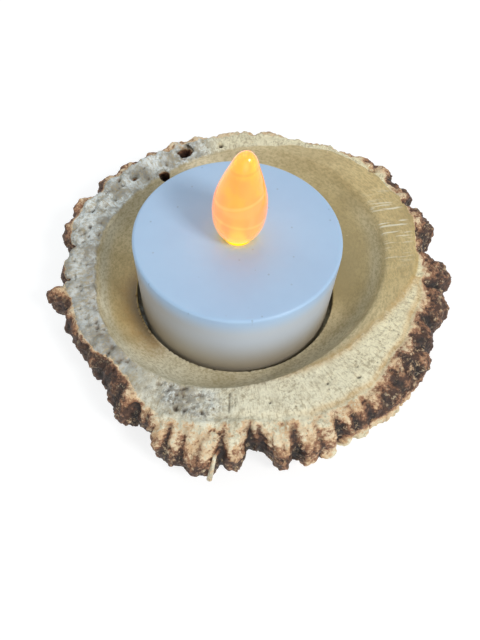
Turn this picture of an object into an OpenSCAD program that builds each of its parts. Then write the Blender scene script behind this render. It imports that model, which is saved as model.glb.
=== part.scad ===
// Candle holder made from the burr of a shed antler, with a battery tea light in its seat.
// Origin: on the sawn base, under the axis of the candle seat. +Z is up, +Y is the back.

/* [Antler burr] */
// Radius of the burr at the bottom of the grooves between its pearls
burr_r = 36.5; // [32:0.1:44]
// How far the middle of the burr lies to the right of the candle axis
burr_dx = 3; // [0:0.1:5]
// How far the middle of the burr lies behind the candle axis
burr_dy = 2.1; // [0:0.1:4]
// Mean height of the rim above the floor of the candle seat
rim_rise = 9.3; // [8:0.1:12]
// How far the rim rises above its mean height on its high side
rim_tilt = 1.9; // [0:0.1:3]
// Direction of the high side of the rim, from +X, in degrees
rim_high_at = 60; // [0:5:180]
// Bone left under the candle seat
floor_t = 4; // [2.5:0.1:8]
// Radius of the vein holes in the rim
vein_r = 1.2; // [0.6:0.1:1.6]

/* [Candle seat] */
// Clearance all round between the tea light and the bored seat
seat_gap = 0.4; // [0.3:0.1:1.5]
// Depth of the bored seat below the dished bowl
seat_depth = 4.2; // [2:0.1:5]
// Mean width of the dished bowl, from the edge of the seat to its lip
bowl_w = 9.2; // [8.5:0.1:9.6]
// Mean rise of the dished bowl, from the edge of the seat to its lip
bowl_rise = 4.6; // [4:0.1:6]
// How far the lip rises above its mean height on the rim's high side
bowl_tilt = 0.9; // [0:0.1:1.2]
// How far the middle of the bowl lies to the right of the candle axis
bowl_dx = 0.4; // [0:0.1:1]
// How far the middle of the bowl lies behind the candle axis
bowl_dy = 4.4; // [3:0.1:5]
// How much the bowl is drawn out on its long sides, and drawn in on the others
bowl_oval = 1.7; // [0:0.1:2]
// Direction of a long side of the bowl, from +X, in degrees
bowl_oval_at = 52; // [0:1:179]
// Slope of the polished shoulder outside the lip, in degrees
shoulder_slope = 14; // [8:1:20]

/* [Tea light shell] */
// Radius of the shell at its top edge
body_r = 19; // [18.5:0.1:21]
// How much smaller the radius is at the bottom edge
body_taper = 0.5; // [0:0.05:0.7]
// Height of the shell
body_h = 20; // [19:0.1:26]
// Thickness of the side wall at the bottom edge
wall_t = 0.8; // [0.6:0.05:1]
// Thickness of the top
top_t = 1.2; // [0.8:0.1:2]
// Rounding of the top edge
edge_round = 0.6; // [0.2:0.1:0.8]
// Width of the inner ledge that the base is pushed up against
ledge_w = 0.5; // [0.3:0.05:0.8]

/* [Flame bulb] */
// Height of the flame above the shell
flame_h = 19.5; // [15:0.1:24]
// Largest radius of the flame
flame_r = 4.85; // [4:0.05:6]
// Radius of the stem that passes through the shell
stem_r = 2.45; // [2.2:0.05:3]
// How far the tip leans to the right
flame_lean = 0.9; // [0:0.1:1.5]
// Radius of the flange that holds the flame under the shell
flange_r = 4; // [3.4:0.1:5]
// Thickness of that flange
flange_t = 1; // [0.6:0.1:1.5]

/* [LED] */
// Radius of the LED body
led_r = 1.5; // [1.4:0.05:1.6]
// Height of the LED body, flange and dome included
led_h = 5.3; // [4.8:0.1:6]
// How far the flange of the LED stands out from its body
led_rim = 0.4; // [0.3:0.05:0.5]
// Thickness of the flange of the LED
led_rim_t = 1; // [0.8:0.1:1.2]
// Width of a square LED lead
lead_w = 0.5; // [0.4:0.05:0.55]
// Distance between the two LED leads
lead_pitch = 2.54; // [2.4:0.02:2.6]
// Edge of a square LED chip
chip_w = 0.35; // [0.25:0.05:0.4]

/* [Base and battery] */
// How far the base lies above the bottom edge of the shell
base_recess = 1; // [0.7:0.1:2]
// Thickness of the base
base_t = 1.6; // [1.4:0.1:2]
// Height of the skirt that centres the base in the shell
skirt_h = 2; // [1.6:0.1:3]
// Radius of the coin cell
cell_r = 10; // [9.6:0.1:10.4]
// Height of the coin cell
cell_h = 3.2; // [2.5:0.1:3.6]
// Thickness of the battery cover
cover_t = 1.45; // [1.3:0.05:1.8]
// Height of the bayonet lugs on the battery cover
lug_t = 0.7; // [0.5:0.05:0.75]
// Reach of the bayonet lugs past the edge of the cover
lug_reach = 0.8; // [0.6:0.05:0.9]
// Width of a bayonet lug, in degrees
lug_angle = 30; // [20:1:34]
// Turn that unlocks the battery cover, in degrees
cover_turn = 45; // [40:1:55]
// Thickness of the contact strips
strip_t = 0.25; // [0.2:0.05:0.3]
// Width of the contact strip on the cell's cap
strip_w = 4; // [3:0.1:5]

/* [Slide switch] */
// Travel of the slider between off and on
travel = 2; // [1.6:0.1:2.4]
// Length of the slider body
slider_l = 4.4; // [4:0.1:5]
// Width of the slider body
slider_w = 2.6; // [2.4:0.1:2.8]
// Thickness of the slider body
slider_t = 1.6; // [1.2:0.1:2]
// Length of the knob under the base
knob_l = 2; // [1.6:0.1:2.4]
// Width of the knob under the base
knob_w = 1.4; // [1.2:0.1:1.8]

/* [Clearances] */
// Gap round pieces that slide or turn
run_gap = 0.15; // [0.1:0.01:0.25]
// Gap between pieces that are put together and stay
fit_gap = 0.05; // [0.02:0.01:0.1]

/* [Hidden] */
$fn = 96;
far = 100;

// Antler: rim, bowl and seat
rim_h = floor_t + rim_rise;
seat_r = body_r + seat_gap;
seat_z = floor_t + seat_depth;
lip_r = seat_r + bowl_w;
bowl_steps = 10;
bowl_sides = 100;
bowl_turn = 72;

// Pearls round the burr: direction in degrees, reach past the grooves, half width in degrees
pearls = [
    [4.5, 3.1, 3.6], [11, -2.6, 2.6], [20.8, 3.2, 3.8], [33, 3.9, 2.7], [42, 4.6, 2.7], [49, 3.8, 3.6],
    [60, 1.9, 6], [70, 0.7, 4], [81.5, 2.9, 2.9], [91.5, 2.1, 3.6], [104, 2.1, 3.8], [112, 2.4, 4],
    [122, 2.4, 3.4], [131, 3.8, 3.2], [140, 3.6, 4.4], [152, 4, 5], [162, 3.6, 4.4], [178, 1.8, 2.2],
    [187.5, 3.7, 1.8], [199, 1.1, 3.2], [207, -0.5, 3.4], [216, -0.6, 2.8], [222, -1.5, 2], [229, 0.3, 3],
    [236, 2, 3.4], [246, 0.8, 2.4], [253, 5, 3.5], [258, 1, 1.8], [262, 5.3, 3.2], [266.5, 1.6, 2],
    [271.5, 2.8, 3], [277, -1, 1.6], [281, -1.7, 1.8], [285.5, 3.1, 2.6], [292, 2.4, 2.6],
    [298, 2.4, 2.6], [305.5, 2.2, 2.6], [311, 1.8, 2.2], [317, 1.8, 2.6], [324, 2, 3],
    [333, 2.1, 3.4], [342, 1.4, 2.6], [349, -1.2, 1.6], [354, 2.6, 2.6]
];
// Section of the burr from the bowl to the base: inset from the grooves, share of the rim height, and
// the shares of the pearls' reach, of the filling between them and of the clefts
edge_rows = [
    [17, 1, 0, 0, 0], [10, 1, 0, 0, 0], [6, 1, 0.1, 0.1, 0], [3.6, 1, 0.3, 0.3, 0.1],
    [2, 0.97, 0.6, 0.6, 0.4], [0.9, 0.9, 0.85, 0.85, 0.8], [0.3, 0.78, 1, 1, 1], [0, 0.6, 1, 1, 1],
    [0.1, 0.42, 1, 0.95, 1], [0.5, 0.25, 0.95, 0.45, 0.9], [1.4, 0.11, 0.8, 0, 0.8],
    [2.6, 0.02, 0.6, 0, 0.6], [3.4, -0.08, 0.5, 0, 0.5]
];
// How full the valleys between the pearls are, by direction
fullness = [
    [0, 0.7], [5, 0.7], [9, 0.2], [16, 0.2], [22, 0.7], [60, 0.6], [100, 0.4], [180, 0.35], [220, 0.3],
    [245, 0.3], [252, 0.6], [260, 0.9], [269, 0.8], [276, 0.45], [282, 0.45], [287, 0.8], [330, 0.9],
    [342, 0.6], [360, 0.7]
];
// How far to each side the filling follows the tips of the pearls, in degrees
tip_span = 5;
// Clefts down the wall: direction in degrees, half width in degrees, depth
clefts = [
    [10, 1.8, 1.6], [15.3, 2, 1.7], [29.3, 1.7, 2], [39, 1.3, 1.2], [170, 1.6, 1.2], [184, 1.6, 2.5],
    [193, 1.6, 1.2], [200, 1.5, 0.8], [212, 1.5, 1], [219.5, 2, 1.8], [226, 1.5, 1], [240, 1.4, 1.2],
    [245.5, 1.5, 0.9], [253, 1.4, 1.1], [257.5, 1.2, 0.5], [268, 1.4, 1.3], [276.5, 1.8, 1.7], [279.3, 1.6, 1.2],
    [288.7, 1.5, 1.7], [301.5, 1.5, 1.4], [306.5, 1.3, 1], [311.5, 1.3, 1.1], [323, 1.3, 0.8],
    [330, 1.4, 1], [338, 1.4, 1], [345.5, 1.6, 1.7], [357.6, 1.5, 1.9]
];
burr_steps = 288;
// Vein holes: direction in degrees, distance from the candle axis, size against vein_r
veins = [[133, 32.6, 0.75], [122.5, 30.5, 1], [111, 34.4, 1.2]];
vein_depth = 7;

// Shell
body_r_low = body_r - body_taper;
open_r = body_r_low - wall_t;
bore_r = open_r - ledge_w;
flame_hole_r = stem_r + run_gap;
round_steps = 6;

// Base: heights above the seat floor
base_z = base_recess;
base_top = base_z + base_t;
base_r = open_r - fit_gap;
skirt_r = bore_r - run_gap;
skirt_t = 1;
bead_reach = run_gap + 0.12;
bead_h = 0.6;
bead_z = base_top + skirt_h - 1.3 * bead_h;

// Battery cover and well
cover_z = base_z;
cover_top = cover_z + cover_t;
cell_gap = 0.4;
well_r = cell_r + cell_gap;
cover_r = well_r + 0.4;
lug_r = cover_r + lug_reach;
groove_r = lug_r + run_gap;
boss_r = groove_r + 1;
boss_top = cover_top + 1.1;
well_wall = 1.2;
boss_bite = 0.9;
cell_y = -(skirt_r - skirt_t - boss_r + boss_bite);
cell_z = cover_top + fit_gap;
cell_top = cell_z + cell_h;
spring_rise = 0.9;
well_top = cell_top + spring_rise + strip_t;
ceiling_t = 1.2;
ceiling_top = well_top + ceiling_t;
notch_angle = lug_angle + 6;
coin_slot_l = 1.3 * cover_r;
coin_slot_w = 1.6;
coin_slot_d = 0.7;

// Tower, LED and flame: heights above the seat floor
flange_top = body_h - top_t;
flange_z = flange_top - flange_t;
led_bore_r = led_r + run_gap;
led_flange_r = led_r + led_rim;
led_z = flange_z - led_rim_t - fit_gap;
led_body_top = led_z + led_h - led_r;
tower_bore_r = lead_pitch / 2 + lead_w / 2 + run_gap;
tower_r = max(led_flange_r + fit_gap, tower_bore_r) + 1.2;
led_top = led_z + led_h;
cavity_z = led_top + 0.4;
cavity_tip_r = led_bore_r - 0.4;
flame_wall = 5;
cavity_top = body_h + flame_h - flame_wall;
foot_r = stem_r + run_gap;
flame_sides = 28;
// Outline of the flame: share of its height, share of its largest radius
flame_rows = [
    [0.05, 0.66], [0.12, 0.84], [0.22, 0.96], [0.35, 1], [0.48, 0.96], [0.6, 0.84], [0.72, 0.68],
    [0.82, 0.53], [0.9, 0.42], [0.955, 0.31], [0.99, 0.16]
];

// Leads: heights above the seat floor
lead_x = lead_pitch / 2;
lead_z = ceiling_top + 0.25;
bend_z = lead_z + lead_w / 2;
jog_x = 0.7;
jog_z = led_z + led_rim_t / 2;
post_rise = 2.2;
post_top = led_z + post_rise;
chip_t = 0.2;
chip_pitch = chip_w + 0.06;
dish_l = chip_pitch + chip_w + 0.08;
dish_w = chip_w + 0.2;
dish_d = 0.15;
cup_l = dish_l + 0.24;
cup_w = dish_w + 0.24;
cup_t = 0.5;
cup_x = -jog_x - lead_w / 2 + cup_l / 2;
dish_z = post_top + cup_t - dish_d;
exit_top = lead_z + lead_w + 0.6;

// Slide switch: heights above the seat floor
slider_z = base_top + fit_gap;
slider_top = slider_z + slider_t;
slider_side = 0.7;
slider_y = skirt_r - skirt_t - slider_side - slider_w / 2;
slider_on_x = travel / 2;
knob_z = 0.45 * base_recess;
grip_pitch = 0.6;
grip_w = 0.25;
grip_d = 0.25;
slot_l = knob_l + travel + 2 * run_gap;
post_x = (slider_l + travel) / 2 + run_gap;
post_t = 1.1;
wiper_t = 0.2;
wiper_l = 2.4;
wiper_edge = 0.5;
pad_gap = 0.55;
pad_z = slider_top + wiper_t + pad_gap;
pad_w = 0.8;
pad_pitch = 1.5;
pad_a_y = slider_y - pad_pitch / 2;
pad_b_y = slider_y + pad_pitch / 2;
pad_end = post_x + 0.8;
pad_b_x = travel / 4;
bump_r = 0.35;

// Contacts
spring_l = 7.4;
touch_l = 2;
leaf_span = 5.4;
leaf_bow = 0.75;
leaf_h = 2;
leaf_z = cell_z + 0.8;
tab_end_y = lead_w / 2 + 0.5;
tab_x = well_r + well_wall + 0.3;
tab_y = cell_y + leaf_span / 2;
window_h = 0.6;
window_gap = 0.3;

function total(list) = list * [for (item = list) 1];
function angle_between(a, b) = abs((a - b + 540) % 360 - 180);
function pearl_reach(a) =
    total([for (p = pearls) p[1] * exp(-pow(angle_between(a, p[0]) / p[2], 2))]);
// Distance from the candle axis to a circle whose middle lies at dx, dy
function circle_edge(r, dx, dy, a) =
    dx * cos(a) + dy * sin(a) + sqrt(pow(r, 2) - pow(dx * sin(a) - dy * cos(a), 2));
function groove_edge(a) = circle_edge(burr_r, burr_dx, burr_dy, a);
function rim_z(a) = rim_h + rim_tilt * cos(a - rim_high_at);
// Radius of the pearls about the candle axis
function pearl_edge(a) = groove_edge(a) + pearl_reach(a);
// The same, with the valleys drawn out to the tips at their sides
function tip_edge(a) = max([for (d = [-tip_span : tip_span]) pearl_edge(a + d)]);
function filling(a) =
    let (tips = total([for (d = [-3 : 3]) tip_edge(a + d)]) / 7)
    lookup(a, fullness) * max(tips - pearl_edge(a), 0);
function cleft(a) = max([for (c = clefts) c[2] * exp(-pow(angle_between(a, c[0]) / c[1], 2))]);
// One direction of the burr's wall, from the base to the bowl
function burr_column(a) =
    let (groove = groove_edge(a), reach = pearl_reach(a), fill = filling(a), cut = cleft(a), z = rim_z(a))
    [for (row = edge_rows)
        let (r = groove - row[0] + row[2] * reach + row[3] * fill - row[4] * cut)
        [r * cos(a), r * sin(a), z * row[1]]];
// Distance of the bowl's lip from the candle axis, and its height
function lip_edge(a) =
    circle_edge(lip_r, bowl_dx, bowl_dy, a) + bowl_oval * cos(2 * (a - bowl_oval_at));
function lip_z(a) = seat_z + bowl_rise + bowl_tilt * cos(a - rim_high_at);
// Point of the bowl's surface; t is 0 at the seat and bowl_turn at the lip
function bowl_point(a, t) =
    let (
        r = seat_r + (lip_edge(a) - seat_r) * sin(t) / sin(bowl_turn),
        z = seat_z + (lip_z(a) - seat_z) * (1 - cos(t)) / (1 - cos(bowl_turn))
    )
    [r * cos(a), r * sin(a), z];
// Point of the shoulder's slope, far outside the lip
function slope_point(a) =
    [far * cos(a), far * sin(a), lip_z(a) + (far - lip_edge(a)) * tan(shoulder_slope)];
// Points of a level circle round the candle axis
function circle_at(r, z, angles) = [for (a = angles) [r * cos(a), r * sin(a), z]];
// Points of an arc from one direction to another
function arc(cx, cy, rx, ry, from, to, steps) =
    [for (i = [0 : steps]) let (a = from + (to - from) * i / steps) [cx + rx * cos(a), cy + ry * sin(a)]];

// Closed solid through rings of equal length, from a bottom point to a top point
module lofted(bottom, rings, top) {
    n = len(rings[0]);
    m = len(rings);
    last = 1 + n * m;
    points = concat([bottom], [for (ring = rings) for (p = ring) p], [top]);
    faces = concat(
        [for (i = [0 : n - 1]) [0, 1 + i, 1 + (i + 1) % n]],
        [for (k = [0 : m - 2]) for (i = [0 : n - 1]) for (half = [0, 1])
            let (a = 1 + k * n + i, b = 1 + k * n + (i + 1) % n)
            half == 0 ? [a, a + n, b] : [b, a + n, b + n]],
        [for (i = [0 : n - 1]) [last, 1 + (m - 1) * n + (i + 1) % n, 1 + (m - 1) * n + i]]
    );
    polyhedron(points, faces, convexity = 8);
}

// Ring of the given inner and outer radius between two heights
module ring(inner, outer, low, high) {
    rotate_extrude() translate([inner, low]) square([outer - inner, high - low]);
}

// Sector of a disc, centred on the direction a
module sector(r, a, width, low, high) {
    translate([0, 0, low]) rotate([0, 0, a - width / 2])
        rotate_extrude(angle = width) square([r, high - low]);
}

// Box from one corner to the opposite one
module box(a, b) {
    translate(a) cube(b - a);
}

// Everything that stands on the seat floor
module on_floor() {
    translate([0, 0, floor_t]) children();
}

// Everything on the axis of the coin cell
module on_cell() {
    on_floor() translate([0, cell_y, 0]) children();
}

// The burr

module burr_blank() {
    columns = [for (i = [0 : burr_steps - 1]) burr_column(360 * i / burr_steps)];
    last = len(edge_rows) - 1;
    rings = [for (k = [last : -1 : 0]) [for (column = columns) column[k]]];
    lofted([0, 0, edge_rows[last][1] * rim_h], rings, [0, 0, rim_h]);
}

// Space that is bored and dished out of the burr for the tea light
module bowl_cut() {
    angles = [for (i = [0 : bowl_sides - 1]) 360 * i / bowl_sides];
    turns = [for (i = [0 : bowl_steps]) bowl_turn * i / bowl_steps];
    rings = concat(
        [circle_at(seat_r, floor_t, angles)],
        [for (t = turns) [for (a = angles) bowl_point(a, t)]],
        [[for (a = angles) slope_point(a)]]
    );
    lofted([0, 0, floor_t], rings, [0, 0, far]);
}

module vein_holes() {
    for (v = veins)
        rotate([0, 0, v[0]]) translate([v[1], 0, rim_z(v[0]) - vein_depth])
            cylinder(r = vein_r * v[2], h = far);
}

module antler_burr() {
    color("tan") difference() {
        burr_blank();
        bowl_cut();
        vein_holes();
        translate([-far, -far, -far]) cube([2 * far, 2 * far, far]);
    }
}

// The tea light's shell and flame

module candle_shell() {
    color("white") on_floor() rotate_extrude() polygon(concat(
        [[open_r, 0], [body_r_low, 0]],
        arc(body_r - edge_round, body_h - edge_round, edge_round, edge_round, 0, 90, round_steps),
        [[flame_hole_r, body_h], [flame_hole_r, flange_top], [bore_r, flange_top],
         [bore_r, bead_z + bead_h], [bore_r + bead_reach, bead_z + 0.7 * bead_h],
         [bore_r + bead_reach, bead_z + 0.3 * bead_h], [bore_r, bead_z],
         [bore_r, base_top], [open_r, base_top]]));
}

function flame_ring(row) =
    [for (i = [0 : flame_sides - 1])
        let (a = 360 * i / flame_sides, r = flame_r * row[1])
        [flame_lean * pow(row[0], 2) + r * cos(a), r * sin(a), body_h + flame_h * row[0]]];

module flame_body() {
    foot_z = body_h + fit_gap;
    foot = [for (i = [0 : flame_sides - 1])
        let (a = 360 * i / flame_sides) [foot_r * cos(a), foot_r * sin(a), foot_z]];
    lofted([0, 0, foot_z], concat([foot], [for (row = flame_rows) flame_ring(row)]),
        [flame_lean, 0, body_h + flame_h]);
}

module flame_bulb() {
    color("orange") on_floor() difference() {
        union() {
            flame_body();
            translate([0, 0, flange_z + flange_t / 2])
                cylinder(r = stem_r, h = body_h - flange_z - flange_t / 2 + 0.7);
            translate([0, 0, flange_z]) cylinder(r = flange_r, h = flange_t);
        }
        rotate_extrude() polygon([
            [0, flange_z - 1], [led_bore_r, flange_z - 1], [led_bore_r, cavity_z],
            [cavity_tip_r, cavity_top], [0, cavity_top]]);
    }
}

// The LED

module led_body() {
    on_floor() {
        translate([0, 0, led_z]) cylinder(r = led_flange_r, h = led_rim_t);
        rotate_extrude() polygon(concat(
            [[0, led_z + led_rim_t / 2], [led_r, led_z + led_rim_t / 2]],
            arc(0, led_body_top, led_r, led_r, 0, 90, 2 * round_steps)));
    }
}

module led_lens() {
    color("gold") difference() {
        led_body();
        led_anode_lead();
        led_cathode_lead();
        led_chips();
    }
}

// Emitter and flicker chip, side by side in the dish of the cathode
module led_chips() {
    color("khaki") on_floor() for (side = [-1, 1])
        translate([cup_x + side * chip_pitch / 2 - chip_w / 2, -chip_w / 2, dish_z])
            cube([chip_w, chip_w, chip_t]);
}

// Square wire along one axis, from the middle of one end to the middle of the other
module wire(a, b) {
    half = lead_w / 2;
    low = [for (i = [0 : 2]) min(a[i], b[i]) - half];
    high = [for (i = [0 : 2]) max(a[i], b[i]) + half];
    box(low, high);
}

// Part of a lead at the LED: up from its bend, in to the jog and up to its end
module lead_head(side, end_z) {
    wire([side * lead_x, 0, bend_z], [side * lead_x, 0, jog_z]);
    wire([side * lead_x, 0, jog_z], [side * jog_x, 0, jog_z]);
    wire([side * jog_x, 0, jog_z], [side * jog_x, 0, end_z - lead_w / 2]);
}

module led_anode_lead() {
    color("silver") on_floor() {
        lead_head(1, post_top + cup_t);
        wire([lead_x, 0, bend_z], [tab_x - lead_w / 2, 0, bend_z]);
    }
}

module led_cathode_lead() {
    end_x = pad_end / 2;
    color("silver") on_floor() {
        difference() {
            union() {
                lead_head(-1, post_top);
                translate([cup_x - cup_l / 2, -cup_w / 2, post_top]) cube([cup_l, cup_w, cup_t]);
            }
            translate([cup_x - dish_l / 2, -dish_w / 2, dish_z]) cube([dish_l, dish_w, far]);
        }
        wire([-lead_x, 0, bend_z], [-lead_x, pad_b_y, bend_z]);
        wire([-lead_x, pad_b_y, bend_z], [end_x, pad_b_y, bend_z]);
        wire([end_x, pad_b_y, bend_z], [end_x, pad_b_y, pad_z + strip_t + lead_w / 2]);
    }
}

// The base

module base_solid() {
    on_floor() {
        translate([0, 0, base_z]) cylinder(r = base_r, h = base_t);
        rotate_extrude() polygon([
            [skirt_r - skirt_t, base_z + base_t / 2], [skirt_r, base_z + base_t / 2], [skirt_r, bead_z],
            [skirt_r + bead_reach, bead_z + 0.35 * bead_h],
            [skirt_r + bead_reach, bead_z + 0.65 * bead_h],
            [skirt_r, bead_z + bead_h], [skirt_r, base_top + skirt_h],
            [skirt_r - skirt_t, base_top + skirt_h]]);
        for (side = [-1, 1])
            box([side > 0 ? post_x : -post_x - post_t, slider_y - slider_w / 2, base_z + base_t / 2],
                [side > 0 ? post_x + post_t : -post_x, slider_y + slider_w / 2, pad_z]);
        translate([0, 0, ceiling_top - ceiling_t / 2])
            cylinder(r = tower_r, h = flange_z - ceiling_top + ceiling_t / 2);
    }
    on_cell() {
        translate([0, 0, base_z]) cylinder(r = boss_r, h = boss_top - base_z);
        translate([0, 0, base_z]) cylinder(r = well_r + well_wall, h = ceiling_top - base_z);
    }
}

module base_chassis() {
    color("whitesmoke") difference() {
        base_solid();
        on_cell() {
            translate([0, 0, base_z - 1]) cylinder(r = cover_r + run_gap, h = cover_t + 1);
            translate([0, 0, cover_top - lug_t - run_gap]) cylinder(r = groove_r, h = lug_t + 2 * run_gap);
            translate([0, 0, base_z]) cylinder(r = well_r, h = well_top - base_z);
            for (a = [0, 180])
                sector(groove_r, a - cover_turn, notch_angle, base_z - 1, cover_top - lug_t);
            box([well_r - 1, -leaf_span / 2 - window_gap, leaf_z - window_gap],
                [tab_x, leaf_span / 2 + window_gap, leaf_z + leaf_h + window_gap]);
            box([-strip_w / 2 - 0.2, 0, well_top - window_h], [strip_w / 2 + 0.2, boss_r, well_top]);
        }
        on_floor() {
            box([tab_x - window_gap, tab_y - strip_t - window_gap, leaf_z - window_gap],
                [tab_x + strip_t + window_gap, tab_end_y + window_gap, far]);
            box([-slot_l / 2, slider_y - knob_w / 2 - run_gap, 0],
                [slot_l / 2, slider_y + knob_w / 2 + run_gap, base_top + 1]);
            translate([0, 0, ceiling_top]) cylinder(r = tower_bore_r, h = far);
            translate([0, 0, led_z]) cylinder(r = led_flange_r + fit_gap, h = far);
            box([0, -lead_w / 2 - run_gap, ceiling_top], [tower_r + 1, lead_w / 2 + run_gap, exit_top]);
            box([-lead_x - lead_w / 2 - run_gap, 0, ceiling_top],
                [-lead_x + lead_w / 2 + run_gap, tower_r + 1, exit_top]);
        }
    }
}

module battery_cover() {
    color("white") on_cell() difference() {
        union() {
            translate([0, 0, cover_z]) cylinder(r = cover_r, h = cover_t);
            for (a = [0, 180])
                sector(lug_r, a, lug_angle, cover_top - lug_t, cover_top);
        }
        box([-coin_slot_l / 2, -coin_slot_w / 2, 0],
            [coin_slot_l / 2, coin_slot_w / 2, cover_z + coin_slot_d]);
    }
}

// The coin cell: a can, a gasket crimped inside it, a cap, and what they hold

can_t = 0.25;
cap_r = cell_r - 1.3;
crimp_r = cap_r + 0.5;
crimp_z = cell_top - 0.5;
cap_foot_z = cell_z + 0.8;
gasket_r = cell_r - can_t - fit_gap;
pellet_r = cap_r - can_t - 2 * fit_gap;
pellet_z = cell_z + can_t;
pellet_top = cell_z + 0.5 * cell_h;
separator_t = 0.15;

module coin_cell_can() {
    color("silver") on_cell() rotate_extrude() polygon([
        [0, cell_z], [cell_r, cell_z], [cell_r, crimp_z], [crimp_r, crimp_z], [crimp_r, crimp_z - can_t],
        [cell_r - can_t, crimp_z - can_t], [cell_r - can_t, cell_z + can_t], [0, cell_z + can_t]]);
}

module coin_cell_gasket() {
    color("dimgray") on_cell() rotate_extrude() polygon([
        [cap_r - can_t, cell_z + can_t], [gasket_r, cell_z + can_t], [gasket_r, crimp_z - can_t - fit_gap],
        [crimp_r - fit_gap, crimp_z - can_t - fit_gap], [crimp_r - fit_gap, crimp_z],
        [cap_r + fit_gap, crimp_z], [cap_r + fit_gap, cap_foot_z + can_t + fit_gap],
        [crimp_r, cap_foot_z + can_t + fit_gap], [crimp_r, cap_foot_z - fit_gap],
        [cap_r - can_t, cap_foot_z - fit_gap]]);
}

module coin_cell_cap() {
    color("gainsboro") on_cell() rotate_extrude() polygon([
        [0, cell_top], [cap_r, cell_top], [cap_r, cap_foot_z + can_t],
        [crimp_r - fit_gap, cap_foot_z + can_t], [crimp_r - fit_gap, cap_foot_z],
        [cap_r - can_t, cap_foot_z], [cap_r - can_t, cell_top - can_t], [0, cell_top - can_t]]);
}

module cell_disc(low, high) {
    on_cell() translate([0, 0, low]) cylinder(r = pellet_r, h = high - low);
}

module coin_cell_pellet() {
    color("black") cell_disc(pellet_z, pellet_top);
}

module coin_cell_separator() {
    color("ivory") cell_disc(pellet_top, pellet_top + separator_t);
}

module coin_cell_lithium() {
    color("lightgray") cell_disc(pellet_top + separator_t, cell_top - can_t);
}

// Contacts

// Strip of sheet metal along a line of [across, up] points, cut to the given width
module strip_along(points, t) {
    for (i = [0 : len(points) - 2]) {
        a = points[i];
        b = points[i + 1];
        run = norm(b - a);
        translate(a) rotate(atan2(b[1] - a[1], b[0] - a[0]))
            translate([-t / 2, -t / 2]) square([run + t, t]);
    }
}

// Leaf that presses on the side of the can, with an upright tab for the anode lead
module positive_contact() {
    bow_r = (pow(leaf_span / 2, 2) + pow(leaf_bow, 2)) / (2 * leaf_bow);
    touch_x = cell_r + fit_gap;
    half = asin(leaf_span / 2 / bow_r);
    color("gold") on_floor() {
        translate([touch_x + bow_r, cell_y, leaf_z]) rotate([0, 0, 180 - half])
            rotate_extrude(angle = 2 * half) translate([bow_r - strip_t, 0]) square([strip_t, leaf_h]);
        box([touch_x + leaf_bow, tab_y - strip_t, leaf_z], [tab_x + strip_t, tab_y, leaf_z + leaf_h]);
        box([tab_x, tab_y - strip_t, leaf_z], [tab_x + strip_t, tab_end_y, lead_z + lead_w]);
    }
}

// Spring on the ceiling of the well, which presses on the cap and ends in the switch's long pad
module negative_contact() {
    high = well_top - fit_gap - strip_t / 2;
    low = cell_top + fit_gap + strip_t / 2;
    pad = pad_z + strip_t / 2;
    color("gold") on_floor() {
        rotate([90, 0, 90]) translate([0, 0, -strip_w / 2]) linear_extrude(strip_w) strip_along([
            [cell_y - spring_l, high], [cell_y - spring_l / 2, high], [cell_y - touch_l / 2, low],
            [cell_y + touch_l / 2, low], [cell_y + spring_l / 2, high], [cell_y + boss_r - 1, high],
            [pad_a_y - pad_w / 2, pad], [pad_a_y, pad]], strip_t);
        box([-pad_end, pad_a_y - pad_w / 2, pad_z], [pad_end, pad_a_y + pad_w / 2, pad_z + strip_t]);
    }
}

// Short pad that the wiper reaches only in the on position
module switch_contact() {
    color("gold") on_floor()
        box([pad_b_x, pad_b_y - pad_w / 2, pad_z], [pad_end, pad_b_y + pad_w / 2, pad_z + strip_t]);
}

// Slide switch, drawn in the on position

module switch_slider() {
    color("dimgray") on_floor() translate([slider_on_x, slider_y, 0]) difference() {
        union() {
            box([-slider_l / 2, -slider_w / 2, slider_z], [slider_l / 2, slider_w / 2, slider_top]);
            box([-knob_l / 2, -knob_w / 2, knob_z], [knob_l / 2, knob_w / 2, slider_z + 0.5]);
        }
        for (i = [-1 : 1])
            translate([i * grip_pitch - grip_w / 2, -knob_w, 0]) cube([grip_w, 2 * knob_w, knob_z + grip_d]);
    }
}

module switch_wiper() {
    color("gold") on_floor() translate([slider_on_x, 0, slider_top]) {
        box([-wiper_l / 2, pad_a_y - wiper_edge, 0], [wiper_l / 2, pad_b_y + wiper_edge, wiper_t]);
        for (y = [pad_a_y, pad_b_y])
            translate([0, y, 0]) cylinder(r = bump_r, h = wiper_t + pad_gap - fit_gap);
    }
}

antler_burr();
candle_shell();
flame_bulb();
led_lens();
led_chips();
led_anode_lead();
led_cathode_lead();
base_chassis();
battery_cover();
coin_cell_can();
coin_cell_gasket();
coin_cell_cap();
coin_cell_lithium();
coin_cell_separator();
coin_cell_pellet();
positive_contact();
negative_contact();
switch_contact();
switch_slider();
switch_wiper();
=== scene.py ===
"""Looks of an antler candle holder: a pearled slice of burr with a polished bowl and a battery tea light."""

import logging
import math
from contextlib import contextmanager
from dataclasses import dataclass
from enum import Enum
from typing import Callable, Iterator, Sequence, Union

import bmesh
import bpy
import numpy as np
from mathutils import Matrix, Vector, noise


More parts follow.
